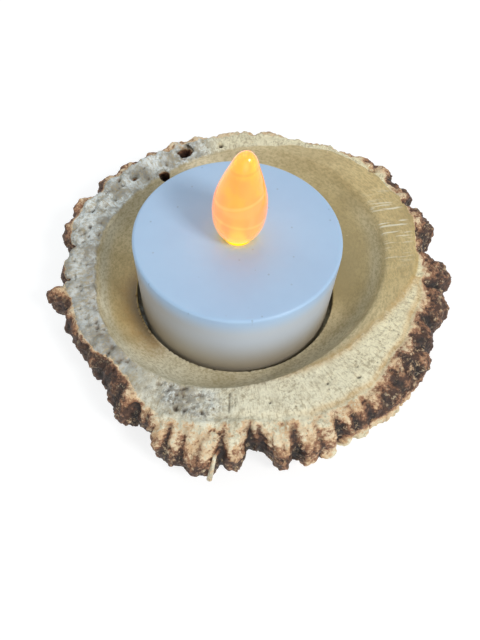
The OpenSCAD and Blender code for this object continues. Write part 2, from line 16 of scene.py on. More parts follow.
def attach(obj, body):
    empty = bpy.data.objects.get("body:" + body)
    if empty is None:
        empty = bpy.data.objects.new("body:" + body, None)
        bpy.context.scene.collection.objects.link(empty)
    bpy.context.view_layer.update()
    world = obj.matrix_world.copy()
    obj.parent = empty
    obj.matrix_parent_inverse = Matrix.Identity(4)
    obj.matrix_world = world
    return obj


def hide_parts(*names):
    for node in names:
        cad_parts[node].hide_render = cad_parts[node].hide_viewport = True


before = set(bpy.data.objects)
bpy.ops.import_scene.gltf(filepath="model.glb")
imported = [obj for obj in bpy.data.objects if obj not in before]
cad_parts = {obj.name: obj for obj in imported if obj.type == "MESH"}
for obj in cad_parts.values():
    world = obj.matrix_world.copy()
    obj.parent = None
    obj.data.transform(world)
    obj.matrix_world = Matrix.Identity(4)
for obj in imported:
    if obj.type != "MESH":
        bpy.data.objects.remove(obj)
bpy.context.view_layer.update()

LOG = logging.getLogger("antler_holder")
MM = 0.001
# Height of the seat's floor above the table, in millimetres.
FLOOR_Z = 4.0
# Points closer than this are merged, in metres.
MERGE = 1e-7
# A share of a zone below this counts as none.
TRACE = 0.01

Colour = tuple[float, float, float, float]
Socket = bpy.types.NodeSocket
Feed = Union[float, tuple, Socket]
MeshItem = Union[bmesh.types.BMVert, bmesh.types.BMFace]
Pair = tuple[float, float]
Triple = tuple[float, float, float]
Table = tuple[Pair, ...]


class Body(Enum):
    """The bodies that the new pieces ride on."""

    HOLDER = "holder"
    TEA_LIGHT = "tea_light"


class Slot(Enum):
    """The material slots of the record that go with the new pieces."""

    BONE = "bone"
    WHITE_PLASTIC = "white_plastic"
    FLAME_PLASTIC = "flame_plastic"


class Pick(Enum):
    """What is selected in edit mode."""

    POINTS = "VERT"
    FACES = "FACE"


def rgb(red: float, green: float, blue: float) -> Colour:
    """Opaque linear colour."""
    return (red, green, blue, 1.0)


def smooth_step(low: float, high: float, value: np.ndarray) -> np.ndarray:
    """Smooth ramp from 0 at low to 1 at high.

    Args:
        low: Value where the ramp starts.
        high: Value where the ramp ends.
        value: Values to map.

    Returns:
        The mapped values.
    """
    share = np.clip((value - low) / (high - low), 0.0, 1.0)
    return share * share * (3.0 - 2.0 * share)


def around(table: Table, angle: np.ndarray) -> np.ndarray:
    """Value of a closed curve given as (direction in degrees, value) pairs.

    Args:
        table: The pairs, in rising order of direction.
        angle: Directions to read the curve at, in degrees.

    Returns:
        The curve's values there.
    """
    pairs = np.array(table)
    return np.interp(angle, pairs[:, 0], pairs[:, 1], period=360.0)


def turn_from(angle: np.ndarray, middle: float) -> np.ndarray:
    """Signed difference of directions, in degrees from -180 to 180."""
    return (angle - middle + 540.0) % 360.0 - 180.0


def bell(value: np.ndarray, width: float, power: int = 2) -> np.ndarray:
    """Hump of height 1 where the value is 0.

    Args:
        value: Values to map.
        width: Value at which the hump has fallen to about a third.
        power: Even number; a higher one makes the top flatter and the sides steeper.

    Returns:
        The mapped values.
    """
    return np.exp(-((value / width) ** power))


def band(distance: np.ndarray, at: float, width: float, power: int = 2) -> np.ndarray:
    """Hump of height 1 about a distance."""
    return bell(distance - at, width, power)


def sector(angle: np.ndarray, at: float, width: float, power: int = 4) -> np.ndarray:
    """Hump of height 1 about a direction; all angles are in degrees."""
    return bell(turn_from(angle, at), width, power)


def cell_distances(points: np.ndarray, size: float, where: np.ndarray) -> np.ndarray:
    """Distances to the nearest and the second nearest of scattered points.

    Args:
        points: Places to measure at, in millimetres.
        size: Mean distance between the scattered points.
        where: Marks the places that count; the others get 0.

    Returns:
        Two columns of distances, as shares of size.
    """
    found = np.zeros((len(points), 2))
    found[where] = [noise.voronoi(p)[0][:2] for p in (points[where] / size).tolist()]
    return found


def domes(points: np.ndarray, size: float, where: np.ndarray, steep: float = 2.0) -> np.ndarray:
    """Rounded cells: 0 in the seams between them, up to 1 on top.

    Args:
        points: Places to measure at, in millimetres.
        size: Size of a cell.
        where: Marks the places that count; the others get 0.
        steep: How fast the domes rise from the seams.

    Returns:
        The heights of the domes.
    """
    near, second = cell_distances(points, size, where).T
    return np.clip((second - near) * steep, 0.0, 1.0)


def dots(points: np.ndarray, size: float, where: np.ndarray, core: float, edge: float) -> np.ndarray:
    """Round dots, one in the middle of each cell: 1 inside, 0 outside.

    Args:
        points: Places to measure at, in millimetres.
        size: Size of a cell.
        where: Marks the places that count.
        core: Radius of the full part of a dot, as a share of size.
        edge: Radius where the dot ends, as a share of size.

    Returns:
        The mask of the dots.
    """
    return 1.0 - smooth_step(core, edge, cell_distances(points, size, where)[:, 0])


def rough_noise(points: np.ndarray, size: float, octaves: int, where: np.ndarray) -> np.ndarray:
    """Layered noise from about -1 to 1.

    Args:
        points: Places to measure at, in millimetres.
        size: Size of the largest bumps.
        octaves: Number of layers.
        where: Marks the places that count; the others get 0.

    Returns:
        The noise at the places.
    """
    found = np.zeros(len(points))
    found[where] = [noise.fractal(p, 1.0, 2.0, octaves) for p in (points[where] / size).tolist()]
    return found


def deselect() -> None:
    """Leaves no object selected or active."""
    bpy.ops.object.select_all(action="DESELECT")
    bpy.context.view_layer.objects.active = None


def activate(piece: bpy.types.Object) -> None:
    """Makes a piece the only selected and active one."""
    deselect()
    piece.select_set(True)
    bpy.context.view_layer.objects.active = piece


@contextmanager
def editing(piece: bpy.types.Object) -> Iterator[None]:
    """Edit mode on one piece, with everything in it selected."""
    activate(piece)
    bpy.ops.object.mode_set(mode="EDIT")
    bpy.ops.mesh.select_all(action="SELECT")
    yield
    bpy.ops.object.mode_set(mode="OBJECT")


def pick(piece: bpy.types.Object, kind: Pick, test: Callable[[MeshItem], bool]) -> None:
    """Selects the points or faces of the piece in edit mode that pass a test.

    Args:
        piece: The piece in edit mode.
        kind: What is selected.
        test: Takes a point or a face.
    """
    bpy.ops.mesh.select_mode(type=kind.value)
    bpy.ops.mesh.select_all(action="DESELECT")
    mesh = bmesh.from_edit_mesh(piece.data)
    for item in mesh.verts if kind is Pick.POINTS else mesh.faces:
        if test(item):
            item.select = True
    mesh.select_flush_mode()
    bmesh.update_edit_mesh(piece.data)


def apply_modifier(piece: bpy.types.Object, kind: str, **settings: object) -> None:
    """Adds a modifier to a piece and applies it.

    Args:
        piece: The piece to change.
        kind: Blender's name for the kind of modifier.
        settings: The modifier's own settings.
    """
    activate(piece)
    modifier = piece.modifiers.new(kind.lower(), kind)
    for name, value in settings.items():
        setattr(modifier, name, value)
    bpy.ops.object.modifier_apply(modifier=modifier.name)


def settle(
    piece: bpy.types.Object, finish: bpy.types.Material, body: Body, slot: Slot, *nodes: str
) -> bpy.types.Object:
    """Dresses a finished piece and ties it to its body.

    Args:
        piece: The piece, in place.
        finish: Its material.
        body: The body that it moves with.
        slot: The record's slot that goes with its finish; not used.
        nodes: The solids that it stands for.

    Returns:
        The piece.
    """
    piece.data.materials.clear()
    piece.data.materials.append(finish)
    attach(piece, body.value)
    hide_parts(*nodes)
    return piece


class Sheet:
    """A node tree under construction, with one short call for each kind of node that the finishes use."""

    # Numbers of a Mix node's sockets for colours, which share their names with others.
    FIRST_COLOUR = 6
    SECOND_COLOUR = 7
    MIXED_COLOUR = 2

    def __init__(self, tree: bpy.types.NodeTree) -> None:
        """Starts on an empty tree."""
        self.tree = tree
        self.tree.nodes.clear()

    def add(self, kind: str, **settings: object) -> bpy.types.Node:
        """New node.

        Args:
            kind: The node's class name after ShaderNode.
            settings: Its own settings.

        Returns:
            The node.
        """
        node = self.tree.nodes.new("ShaderNode" + kind)
        for name, value in settings.items():
            setattr(node, name, value)
        return node

    def feed(self, socket: Socket, value: Feed) -> None:
        """Links a socket to another one, or sets its own value."""
        if isinstance(value, bpy.types.NodeSocket):
            self.tree.links.new(value, socket)
        else:
            socket.default_value = value

    def place(self) -> Socket:
        """Place on the piece, in metres."""
        return self.add("TexCoord").outputs["Object"]

    def mark(self, name: str) -> Socket:
        """Value of one of the mesh's own attributes."""
        return self.add("Attribute", attribute_name=name).outputs["Fac"]

    def mix(self, share: Feed, first: Feed, second: Feed) -> Socket:
        """Mix of two colours.

        Args:
            share: 0 for the first colour, 1 for the second.
            first: The first colour.
            second: The second colour.

        Returns:
            The mixed colour.
        """
        node = self.add("Mix", data_type="RGBA")
        self.feed(node.inputs[0], share)
        self.feed(node.inputs[self.FIRST_COLOUR], first)
        self.feed(node.inputs[self.SECOND_COLOUR], second)
        return node.outputs[self.MIXED_COLOUR]

    def math(self, operation: str, first: Feed, second: Feed = 0.0, clamp: bool = False) -> Socket:
        """Result of an operation on two values.

        Args:
            operation: Blender's name for the operation.
            first: The first value.
            second: The second value.
            clamp: Whether the result is kept from 0 to 1.

        Returns:
            The result.
        """
        node = self.add("Math", operation=operation, use_clamp=clamp)
        self.feed(node.inputs[0], first)
        self.feed(node.inputs[1], second)
        return node.outputs[0]

    def plus(self, first: Feed, second: Feed, clamp: bool = False) -> Socket:
        """Sum of two values, kept from 0 to 1 where clamp is set."""
        return self.math("ADD", first, second, clamp)

    def minus(self, first: Feed, second: Feed) -> Socket:
        """Difference of two values."""
        return self.math("SUBTRACT", first, second)

    def times(self, first: Feed, second: Feed) -> Socket:
        """Product of two values."""
        return self.math("MULTIPLY", first, second)

    def ramp(self, value: Feed, low: float, high: float, start: float = 0.0, end: float = 1.0) -> Socket:
        """Smooth ramp of a value.

        Args:
            value: The value to map.
            low: Where the ramp starts.
            high: Where it ends; it can lie below low.
            start: Result where the ramp starts.
            end: Result where it ends.

        Returns:
            The mapped value.
        """
        node = self.add("MapRange", interpolation_type="SMOOTHSTEP")
        self.feed(node.inputs["Value"], value)
        limits = (low, high, start, end) if low < high else (high, low, end, start)
        for name, limit in zip(("From Min", "From Max", "To Min", "To Max"), limits):
            node.inputs[name].default_value = limit
        return node.outputs[0]

    def noise(self, place: Feed, size: float, detail: float = 3.0, rough: float = 0.55) -> Socket:
        """Cloudy noise from 0 to 1.

        Args:
            place: Where to read it.
            size: Size of its largest clouds, in millimetres.
            detail: Number of finer layers.
            rough: Strength of the finer layers.

        Returns:
            The noise.
        """
        node = self.add("TexNoise")
        self.feed(node.inputs["Vector"], place)
        node.inputs["Scale"].default_value = 1.0 / (size * MM)
        node.inputs["Detail"].default_value = detail
        node.inputs["Roughness"].default_value = rough
        return node.outputs[0]

    def cells(self, place: Feed, size: float, flat: bool = False) -> Socket:
        """Distance to the middle of the nearest of a pattern of cells.

        Args:
            place: Where to read it.
            size: Size of a cell, in millimetres.
            flat: Whether the cells only follow X and Y.

        Returns:
            The distance, as a share of size.
        """
        node = self.add("TexVoronoi", voronoi_dimensions="2D" if flat else "3D")
        self.feed(node.inputs["Vector"], place)
        node.inputs["Scale"].default_value = 1.0 / (size * MM)
        return node.outputs["Distance"]

    def stretch(self, place: Feed, scale: Triple) -> Socket:
        """Place scaled along the axes."""
        node = self.add("Mapping")
        self.feed(node.inputs["Vector"], place)
        node.inputs["Scale"].default_value = scale
        return node.outputs[0]

    def axes(self, place: Feed) -> tuple[Socket, Socket, Socket]:
        """The three parts of a place."""
        node = self.add("SeparateXYZ")
        self.feed(node.inputs[0], place)
        return node.outputs[0], node.outputs[1], node.outputs[2]

    def axes_mm(self) -> tuple[Socket, Socket, Socket]:
        """The three parts of the place on the piece, in millimetres."""
        return self.axes(self.stretch(self.place(), (1.0 / MM, 1.0 / MM, 1.0 / MM)))

    def join(self, x: Feed, y: Feed, z: Feed) -> Socket:
        """A place from its three parts."""
        node = self.add("CombineXYZ")
        for socket, value in zip(node.inputs, (x, y, z)):
            self.feed(socket, value)
        return node.outputs[0]

    def group(self, tree: bpy.types.NodeTree, **values: Feed) -> bpy.types.Node:
        """Places a node group and feeds its inputs."""
        node = self.add("Group", node_tree=tree)
        for name, value in values.items():
            self.feed(node.inputs[name], value)
        return node

    def bump(self, height: Feed, depth: float, strength: float = 1.0) -> Socket:
        """Normal bent by a height.

        Args:
            height: The height, from 0 to 1.
            depth: What 1 stands for, in millimetres.
            strength: Share of the effect.

        Returns:
            The normal.
        """
        node = self.add("Bump")
        node.inputs["Strength"].default_value = strength
        node.inputs["Distance"].default_value = depth * MM
        self.feed(node.inputs["Height"], height)
        return node.outputs[0]

    def surface(self, **values: Feed) -> None:
        """Ends the material in a Principled surface.

        Args:
            values: Its inputs, with underscores for spaces.
        """
        shader = self.add("BsdfPrincipled")
        for name, value in values.items():
            self.feed(shader.inputs[name.replace("_", " ")], value)
        self.feed(self.add("OutputMaterial").inputs[0], shader.outputs[0])

    def backdrop(self, output: str, share: Feed, unseen: bpy.types.Node, seen: bpy.types.Node) -> None:
        """Ends the tree in a mix of the shader that lights the object and the one that is looked at.

        Args:
            output: Class name of the output node after ShaderNode.
            share: 0 for the first shader, 1 for the second.
            unseen: The shader that lights the object.
            seen: The shader that is looked at.
        """
        both = self.add("MixShader")
        self.feed(both.inputs[0], share)
        self.feed(both.inputs[1], unseen.outputs[0])
        self.feed(both.inputs[2], seen.outputs[0])
        self.feed(self.add(output).inputs[0], both.outputs[0])


def new_material(name: str) -> tuple[bpy.types.Material, Sheet]:
    """Empty node material and its sheet."""
    material = bpy.data.materials.new(name)
    material.use_nodes = True
    return material, Sheet(material.node_tree)


def new_group(
    name: str, inputs: Sequence[str], outputs: Sequence[str]
) -> tuple[Sheet, bpy.types.Node, bpy.types.Node]:
    """Empty shader node group.

    Args:
        name: The group's name.
        inputs: Names of its inputs; Place is a vector, the others are values.
        outputs: Names of its outputs, all values.

    Returns:
        Its sheet, its input node and its output node.
    """
    tree = bpy.data.node_groups.new(name, "ShaderNodeTree")
    for socket in inputs:
        kind = "NodeSocketVector" if socket == "Place" else "NodeSocketFloat"
        tree.interface.new_socket(name=socket, in_out="INPUT", socket_type=kind)
    for socket in outputs:
        tree.interface.new_socket(name=socket, in_out="OUTPUT", socket_type="NodeSocketFloat")
    sheet = Sheet(tree)
    return sheet, tree.nodes.new("NodeGroupInput"), tree.nodes.new("NodeGroupOutput")


@dataclass
class Effects:
    """Node groups that more than one finish uses, each built once. Sizes are in millimetres."""

    cloud_size: float = 9.0
    gloss_size: float = 3.0
    grain_size: float = 0.22
    speck_size: float = 2.6
    speck_patch: float = 7.0
    streak_size: float = 0.12
    streak_stretch: Triple = (0.06, 1.0, 1.0)
    stain_size: float = 2.4

    def __post_init__(self) -> None:
        """Builds the groups."""
        self.moulded = self.moulded_grain()
        self.drawn = self.drawn_streaks()

    def moulded_grain(self) -> bpy.types.NodeTree:
        """Fine grain, cloudiness and specks of moulded plastic.

        Returns:
            A group with the outputs Tone, Gloss, Height and Specks.
        """
        sheet, given, made = new_group(
            "moulded_grain", ["Place", "Specks"], ["Tone", "Gloss", "Height", "Specks"])
        place = given.outputs["Place"]
        cloud = sheet.noise(place, self.cloud_size, 3.0)
        gloss = sheet.noise(place, self.gloss_size, 4.0)
        grain = sheet.noise(place, self.grain_size, 2.0)
        spots = sheet.ramp(sheet.cells(place, self.speck_size), 0.07, 0.03)
        rare = sheet.ramp(sheet.noise(place, self.speck_patch, 1.0), 0.56, 0.66)
        specks = sheet.times(sheet.times(spots, rare), given.outputs["Specks"])
        sheet.feed(made.inputs["Tone"], sheet.ramp(cloud, 0.3, 0.7))
        sheet.feed(made.inputs["Gloss"], sheet.ramp(gloss, 0.25, 0.75))
        sheet.feed(made.inputs["Height"], grain)
        sheet.feed(made.inputs["Specks"], specks)
        return sheet.tree

    def drawn_streaks(self) -> bpy.types.NodeTree:
        """Streaks of drawn or rolled metal, with small stains.

        Returns:
            A group with the outputs Tone, Gloss and Height.
        """
        sheet, given, made = new_group("drawn_streaks", ["Place"], ["Tone", "Gloss", "Height"])
        place = given.outputs["Place"]
        streaks = sheet.noise(sheet.stretch(place, self.streak_stretch), self.streak_size, 3.0)
        stain = sheet.noise(place, self.stain_size, 4.0, 0.6)
        sheet.feed(made.inputs["Tone"], sheet.ramp(stain, 0.35, 0.7))
        sheet.feed(made.inputs["Gloss"], sheet.ramp(streaks, 0.3, 0.7))
        sheet.feed(made.inputs["Height"], streaks)
        return sheet.tree


@dataclass(frozen=True)
class BoneFinish:
    """Antler bone: tan where polished, cream and grey where sawn, brown where it kept its skin, with painted
    shade and light.
    """

    tan: Colour = rgb(0.68, 0.50, 0.20)
    tan_dark: Colour = rgb(0.46, 0.32, 0.11)
    tan_deep: Colour = rgb(0.31, 0.235, 0.095)
    beige: Colour = rgb(0.84, 0.80, 0.64)
    beige_dark: Colour = rgb(0.60, 0.55, 0.39)
    cream: Colour = rgb(0.92, 0.87, 0.68)
    cream_warm: Colour = rgb(0.97, 0.87, 0.57)
    cream_dark: Colour = rgb(0.46, 0.38, 0.24)
    grey: Colour = rgb(0.88, 0.92, 0.90)
    grey_dark: Colour = rgb(0.26, 0.235, 0.19)
    crest: Colour = rgb(0.70, 0.46, 0.25)
    crest_pale: Colour = rgb(0.88, 0.71, 0.47)
    skin: Colour = rgb(0.060, 0.026, 0.014)
    skin_red: Colour = rgb(0.32, 0.155, 0.08)
    # Near-black painted shade for clefts, holes, cracks and the deepest hollows.
    crevice_shade: Colour = rgb(0.012, 0.006, 0.004)
    # Orange-brown tone, also used for the painted shadow of the tea light beside the seat.
    honey_and_shadow: Colour = rgb(0.56, 0.31, 0.08)
    pore: Colour = rgb(0.17, 0.11, 0.065)
    # Radius that the way round is measured at, and sizes of the patterns, in millimetres.
    fibre_ring: float = 33.0
    cloud_size: float = 8.0
    ring_size: float = 0.45
    turning_size: float = 0.45
    scratch_size: float = 0.5
    scratch_bundle: float = 2.8
    fleck_size: float = 0.75
    fleck_patch: float = 2.6
    fibre_size: float = 0.5
    stain_size: float = 2.6
    broad_stain: float = 7.0
    grain_size: float = 0.55
    grain_patch: float = 3.4
    sponge_size: float = 0.9
    crest_size: float = 2.2
    grit_size: float = 0.9
    grit_patch: float = 3.6
    fine_size: float = 0.5
    ragged_size: float = 1.3
    pore_size: float = 0.8
    pore_patch: float = 2.0
    skin_speck: float = 1.2
    # Scales that draw a pattern out along one way.
    ring_squash: float = 0.6
    fibre_stretch: float = 0.3
    turning_stretch: float = 0.5
    scratch_stretch: Triple = (0.1, 1.0, 0.1)

    def polar(self, sheet: Sheet, place: Socket) -> tuple[Socket, Socket, Socket]:
        """Way round the candle's axis, distance from it and height, all in metres.

        Args:
            sheet: The material's sheet.
            place: Place on the burr.

        Returns:
            The way round, the distance and the height.
        """
        x, y, z = sheet.axes(place)
        radius = sheet.math("SQRT", sheet.plus(sheet.times(x, x), sheet.times(y, y)))
        arc = sheet.times(sheet.math("ARCTAN2", y, x), self.fibre_ring * MM)
        return arc, radius, z

    def polished(self, sheet: Sheet, place: Socket) -> Socket:
        """Colour of the polished bone: cloudy tan with turning rings, fine dark pores, painted shade and a
        painted highlight along the lip.

        Args:
            sheet: The material's sheet.
            place: Place on the burr.

        Returns:
            The colour.
        """
        arc, radius, z = self.polar(sheet, place)
        cloud = sheet.ramp(sheet.noise(place, self.cloud_size, 5.0, 0.65), 0.28, 0.68)
        warm = sheet.mix(cloud, self.tan_dark, self.tan)
        pale = sheet.mix(cloud, self.beige_dark, self.beige)
        colour = sheet.mix(sheet.mark("warm"), pale, warm)
        deep = sheet.mix(sheet.mark("warm"), self.beige_dark, self.tan_dark)
        rings = sheet.noise(sheet.join(radius, 0.0, sheet.times(z, self.ring_squash)), self.ring_size, 2.0)
        colour = sheet.mix(sheet.ramp(rings, 0.45, 0.72, 0.0, 0.4), colour, deep)
        along_turning = sheet.join(sheet.times(arc, self.turning_stretch), radius, z)
        grain = sheet.noise(along_turning, self.turning_size, 4.0, 0.75)
        colour = sheet.mix(sheet.ramp(grain, 0.44, 0.6, 0.0, 0.5), colour, self.tan_deep)
        # Painted shade in the bowl, deepest near the seat.
        colour = sheet.mix(sheet.mark("shade"), colour, self.tan_deep)
        colour = sheet.mix(self.scratches(sheet, place), colour, self.cream)
        spots = sheet.ramp(sheet.cells(place, self.fleck_size), 0.22, 0.1)
        some = sheet.ramp(sheet.noise(place, self.fleck_patch, 2.0), 0.52, 0.68, 0.0, 0.3)
        return sheet.mix(sheet.times(spots, some), colour, self.pore)

    def scratches(self, sheet: Sheet, place: Socket) -> Socket:
        """Mask of the pale tool marks that run across the right shoulder in bundles.

        Args:
            sheet: The material's sheet.
            place: Place on the burr.

        Returns:
            The mask.
        """
        _, y, _ = sheet.axes(place)
        streaks = sheet.noise(sheet.stretch(place, self.scratch_stretch), self.scratch_size, 2.0, 0.6)
        bundles = sheet.ramp(sheet.noise(sheet.join(0.0, y, 0.0), self.scratch_bundle, 1.0), 0.44, 0.56)
        marks = sheet.times(sheet.ramp(streaks, 0.52, 0.62, 0.0, 0.8), bundles)
        return sheet.times(marks, sheet.mark("scratch"))

    def fibres(self, sheet: Sheet, place: Socket) -> Socket:
        """Mask of the fine dark fibres that run outwards across the sawn rim.

        Args:
            sheet: The material's sheet.
            place: Place on the burr.

        Returns:
            The mask.
        """
        arc, radius, _ = self.polar(sheet, place)
        outwards = sheet.join(arc, sheet.times(radius, self.fibre_stretch), 0.0)
        return sheet.ramp(sheet.noise(outwards, self.fibre_size, 4.0, 0.7), 0.5, 0.64, 0.0, 0.7)

    def sawn(self, sheet: Sheet, place: Socket, pores: Socket) -> Socket:
        """Colour of the rough rim: cream to grey, with a fine grain, dark pores and painted shade in its
        hollows and on its left.

        Args:
            sheet: The material's sheet.
            place: Place on the burr.
            pores: Mask of the fine pores.

        Returns:
            The colour.
        """
        patch = sheet.noise(place, self.stain_size, 5.0, 0.65)
        broad = sheet.noise(place, self.broad_stain, 3.0, 0.6)
        grain = sheet.ramp(sheet.noise(place, self.grain_size, 4.0, 0.75), 0.48, 0.60)
        grainy = sheet.ramp(sheet.noise(place, self.grain_patch, 3.0, 0.6), 0.36, 0.62, 0.2, 0.8)
        cream = sheet.mix(sheet.mark("warm"), self.cream, self.cream_warm)
        cream = sheet.mix(sheet.ramp(patch, 0.42, 0.74, 0.0, 0.45), cream, self.cream_dark)
        grey = sheet.mix(sheet.ramp(patch, 0.44, 0.63, 0.0, 0.8), self.grey, self.grey_dark)
        grey = sheet.mix(sheet.ramp(broad, 0.42, 0.66, 0.0, 0.55), grey, self.grey_dark)
        colour = sheet.mix(sheet.mark("grey"), cream, grey)
        # Painted shade on the sawn rim, mostly on its left.
        colour = sheet.mix(sheet.mark("shade"), colour, self.grey_dark)
        colour = sheet.mix(sheet.times(grain, grainy), colour, self.cream_dark)
        colour = sheet.mix(self.fibres(sheet, place), colour, self.cream_dark)
        sponge = sheet.ramp(sheet.noise(place, self.sponge_size, 4.0, 0.7), 0.46, 0.58, 0.0, 0.85)
        colour = sheet.mix(sheet.times(sponge, sheet.mark("pitted")), colour, self.grey_dark)
        # Painted shade in hollows.
        colour = sheet.mix(sheet.ramp(sheet.mark("hollow"), 0.2, 0.95, 0.0, 0.6), colour, self.pore)
        return sheet.mix(pores, colour, self.pore)

    def pearled(self, sheet: Sheet, place: Socket, sawn: Socket, kept: Socket) -> Socket:
        """Colour of the wall: sawn bone, then tan crests, then red and dark brown skin further down.

        Args:
            sheet: The material's sheet.
            place: Place on the burr.
            sawn: Colour of the bone without skin.
            kept: How much of the skin is kept; 0 is none and 1 all of it.

        Returns:
            The colour.
        """
        tone = sheet.ramp(sheet.noise(place, self.crest_size, 4.0, 0.65), 0.35, 0.65)
        crest = sheet.mix(tone, self.crest, self.crest_pale)
        colour = sheet.mix(sheet.ramp(kept, -0.1, 0.25), sawn, crest)
        colour = sheet.mix(sheet.ramp(kept, 0.28, 0.72), colour, self.skin_red)
        colour = sheet.mix(sheet.ramp(kept, 0.7, 1.1), colour, self.skin)
        # The deepest hollows go near-black: painted shade.
        colour = sheet.mix(sheet.ramp(kept, 1.25, 1.7), colour, self.crevice_shade)
        grit = sheet.ramp(sheet.noise(place, self.grit_size, 5.0, 0.8), 0.53, 0.61, 0.0, 0.75)
        patchy = sheet.ramp(sheet.noise(place, self.grit_patch, 2.0), 0.40, 0.58)
        worn = sheet.times(sheet.ramp(kept, 0.4, 0.9), sheet.ramp(sheet.mark("grey"), 0.0, 1.0, 1.0, 0.4))
        return sheet.mix(sheet.times(grit, sheet.times(patchy, worn)), colour, crest)

    def material(self) -> bpy.types.Material:
        """Builds the material."""
        material, sheet = new_material("antler_bone")
        place = sheet.place()
        fine = sheet.noise(place, self.fine_size, 4.0, 0.65)
        ragged = sheet.noise(place, self.ragged_size, 4.0, 0.65)
        spots = sheet.ramp(sheet.cells(place, self.pore_size), 0.26, 0.12)
        some = sheet.ramp(sheet.noise(place, self.pore_patch, 3.0), 0.5, 0.68, 0.0, 0.6)
        pores = sheet.times(spots, some)
        polish = sheet.mark("polish")
        speck = sheet.minus(sheet.noise(place, self.skin_speck, 6.0, 0.75), 0.5)
        kept = sheet.plus(sheet.mark("skin"), sheet.times(speck, 2.0))
        kept = sheet.plus(kept, sheet.times(sheet.minus(fine, 0.5), 1.5))
        frayed = sheet.plus(sheet.mark("tone"), sheet.times(ragged, 0.6))
        tone = sheet.ramp(frayed, 0.55, 1.05)
        colour = sheet.mix(tone, self.sawn(sheet, place, pores), self.polished(sheet, place))
        # Orange-brown tone at the lip and along the seam, and the tea light's painted shadow beside the
        # seat.
        colour = sheet.mix(sheet.times(sheet.mark("honey_and_shadow"), ragged), colour, self.honey_and_shadow)
        colour = self.pearled(sheet, place, colour, kept)
        # Painted shade in the clefts, holes and cracks, and a dark line of painted shadow beside the seat.
        colour = sheet.mix(sheet.mark("recess_shade"), colour, self.crevice_shade)
        shine = sheet.times(sheet.ramp(kept, 0.0, 0.3), 0.18)
        rough = sheet.minus(sheet.ramp(polish, 0.0, 1.0, 0.78, 0.42), shine)
        rough = sheet.plus(rough, sheet.ramp(fine, 0.3, 0.7, -0.06, 0.08), clamp=True)
        height = sheet.minus(fine, sheet.times(pores, 0.8))
        height = sheet.times(height, sheet.ramp(polish, 0.0, 1.0, 1.0, 0.07))
        sheet.surface(Base_Color=colour, Roughness=rough, Normal=sheet.bump(height, 0.22))
        return material


@dataclass(frozen=True)
class MouldedPlastic:
    """Moulded plastic with fine grain and a few specks."""

    name: str
    colour: Colour
    shade: Colour
    roughness: float = 0.4
    specks: float = 0.0
    speck: Colour = rgb(0.12, 0.12, 0.14)
    gloss_change: float = 0.06

    def tinted(self, sheet: Sheet, colour: Socket) -> Socket:
        """The plain colour with what a certain piece adds to it; here nothing."""
        return colour

    def material(self, effects: Effects) -> bpy.types.Material:
        """Builds the material.

        Args:
            effects: The shared node groups.

        Returns:
            The material.
        """
        material, sheet = new_material(self.name)
        grain = sheet.group(effects.moulded, Place=sheet.place(), Specks=self.specks)
        colour = sheet.mix(grain.outputs["Tone"], self.shade, self.colour)
        colour = sheet.mix(grain.outputs["Specks"], colour, self.speck)
        low, high = self.roughness - self.gloss_change, self.roughness + self.gloss_change
        sheet.surface(
            Base_Color=self.tinted(sheet, colour),
            Roughness=sheet.ramp(grain.outputs["Gloss"], 0.0, 1.0, low, high),
            Normal=sheet.bump(grain.outputs["Height"], 0.012, 0.5))
        return material


@dataclass(frozen=True)
class ShellPlastic(MouldedPlastic):
    """The shell's white plastic with painted light: bluish sky light painted on top, and a warm grey towards
    its foot and left that paints shade and light thrown back by the bone. Spans are in mm.
    """

    # Painted light: the side's colour and the warm grey of the foot stand for shade and for light thrown
    # back by the bone.
    side: Colour = rgb(0.54, 0.60, 0.68)
    foot: Colour = rgb(0.37, 0.315, 0.23)
    dust: Colour = rgb(0.16, 0.19, 0.24)
    dust_size: float = 4.6
    dust_patch: float = 5.0
    left_span: Pair = (4.0, -18.0)
    side_span: Pair = (23.95, 19.0)
    foot_span: Pair = (18.0, 8.0)

    def tinted(self, sheet: Sheet, colour: Socket) -> Socket:
        """Adds dust on the top, and on the side the painted shade and bounce light that turn it warm grey.

        Args:
            sheet: The material's sheet.
            colour: The plain colour.

        Returns:
            The colour.
        """
        place = sheet.place()
        x, _, z = sheet.axes_mm()
        spots = sheet.ramp(sheet.cells(place, self.dust_size, flat=True), 0.05, 0.03)
        some = sheet.ramp(sheet.noise(place, self.dust_patch, 1.0), 0.5, 0.6, 0.0, 0.3)
        colour = sheet.mix(sheet.times(spots, some), colour, self.dust)
        # Painted shade and bounce light: the side turns warm grey towards the left and the foot.
        side = sheet.mix(sheet.ramp(x, *self.left_span, 0.0, 0.5), self.side, self.foot)
        colour = sheet.mix(sheet.ramp(z, *self.side_span), colour, side)
        return sheet.mix(sheet.ramp(z, *self.foot_span, 0.0, 0.9), colour, self.foot)


@dataclass(frozen=True)
class SheetMetal:
    """Rolled or drawn metal with streaks and faint stains."""

    name: str
    colour: Colour
    stain: Colour
    roughness: float = 0.32
    smoother: float = 0.08
    rougher: float = 0.1

    def material(self, effects: Effects) -> bpy.types.Material:
        """Builds the material.

        Args:
            effects: The shared node groups.

        Returns:
            The material.
        """
        material, sheet = new_material(self.name)
        drawn = sheet.group(effects.drawn, Place=sheet.place())
        colour = sheet.mix(drawn.outputs["Tone"], self.colour, self.stain)
        low, high = self.roughness - self.smoother, self.roughness + self.rougher
        sheet.surface(
            Base_Color=colour, Metallic=1.0,
            Roughness=sheet.ramp(drawn.outputs["Gloss"], 0.0, 1.0, low, high),
            Normal=sheet.bump(drawn.outputs["Height"], 0.01, 0.6))
        return material


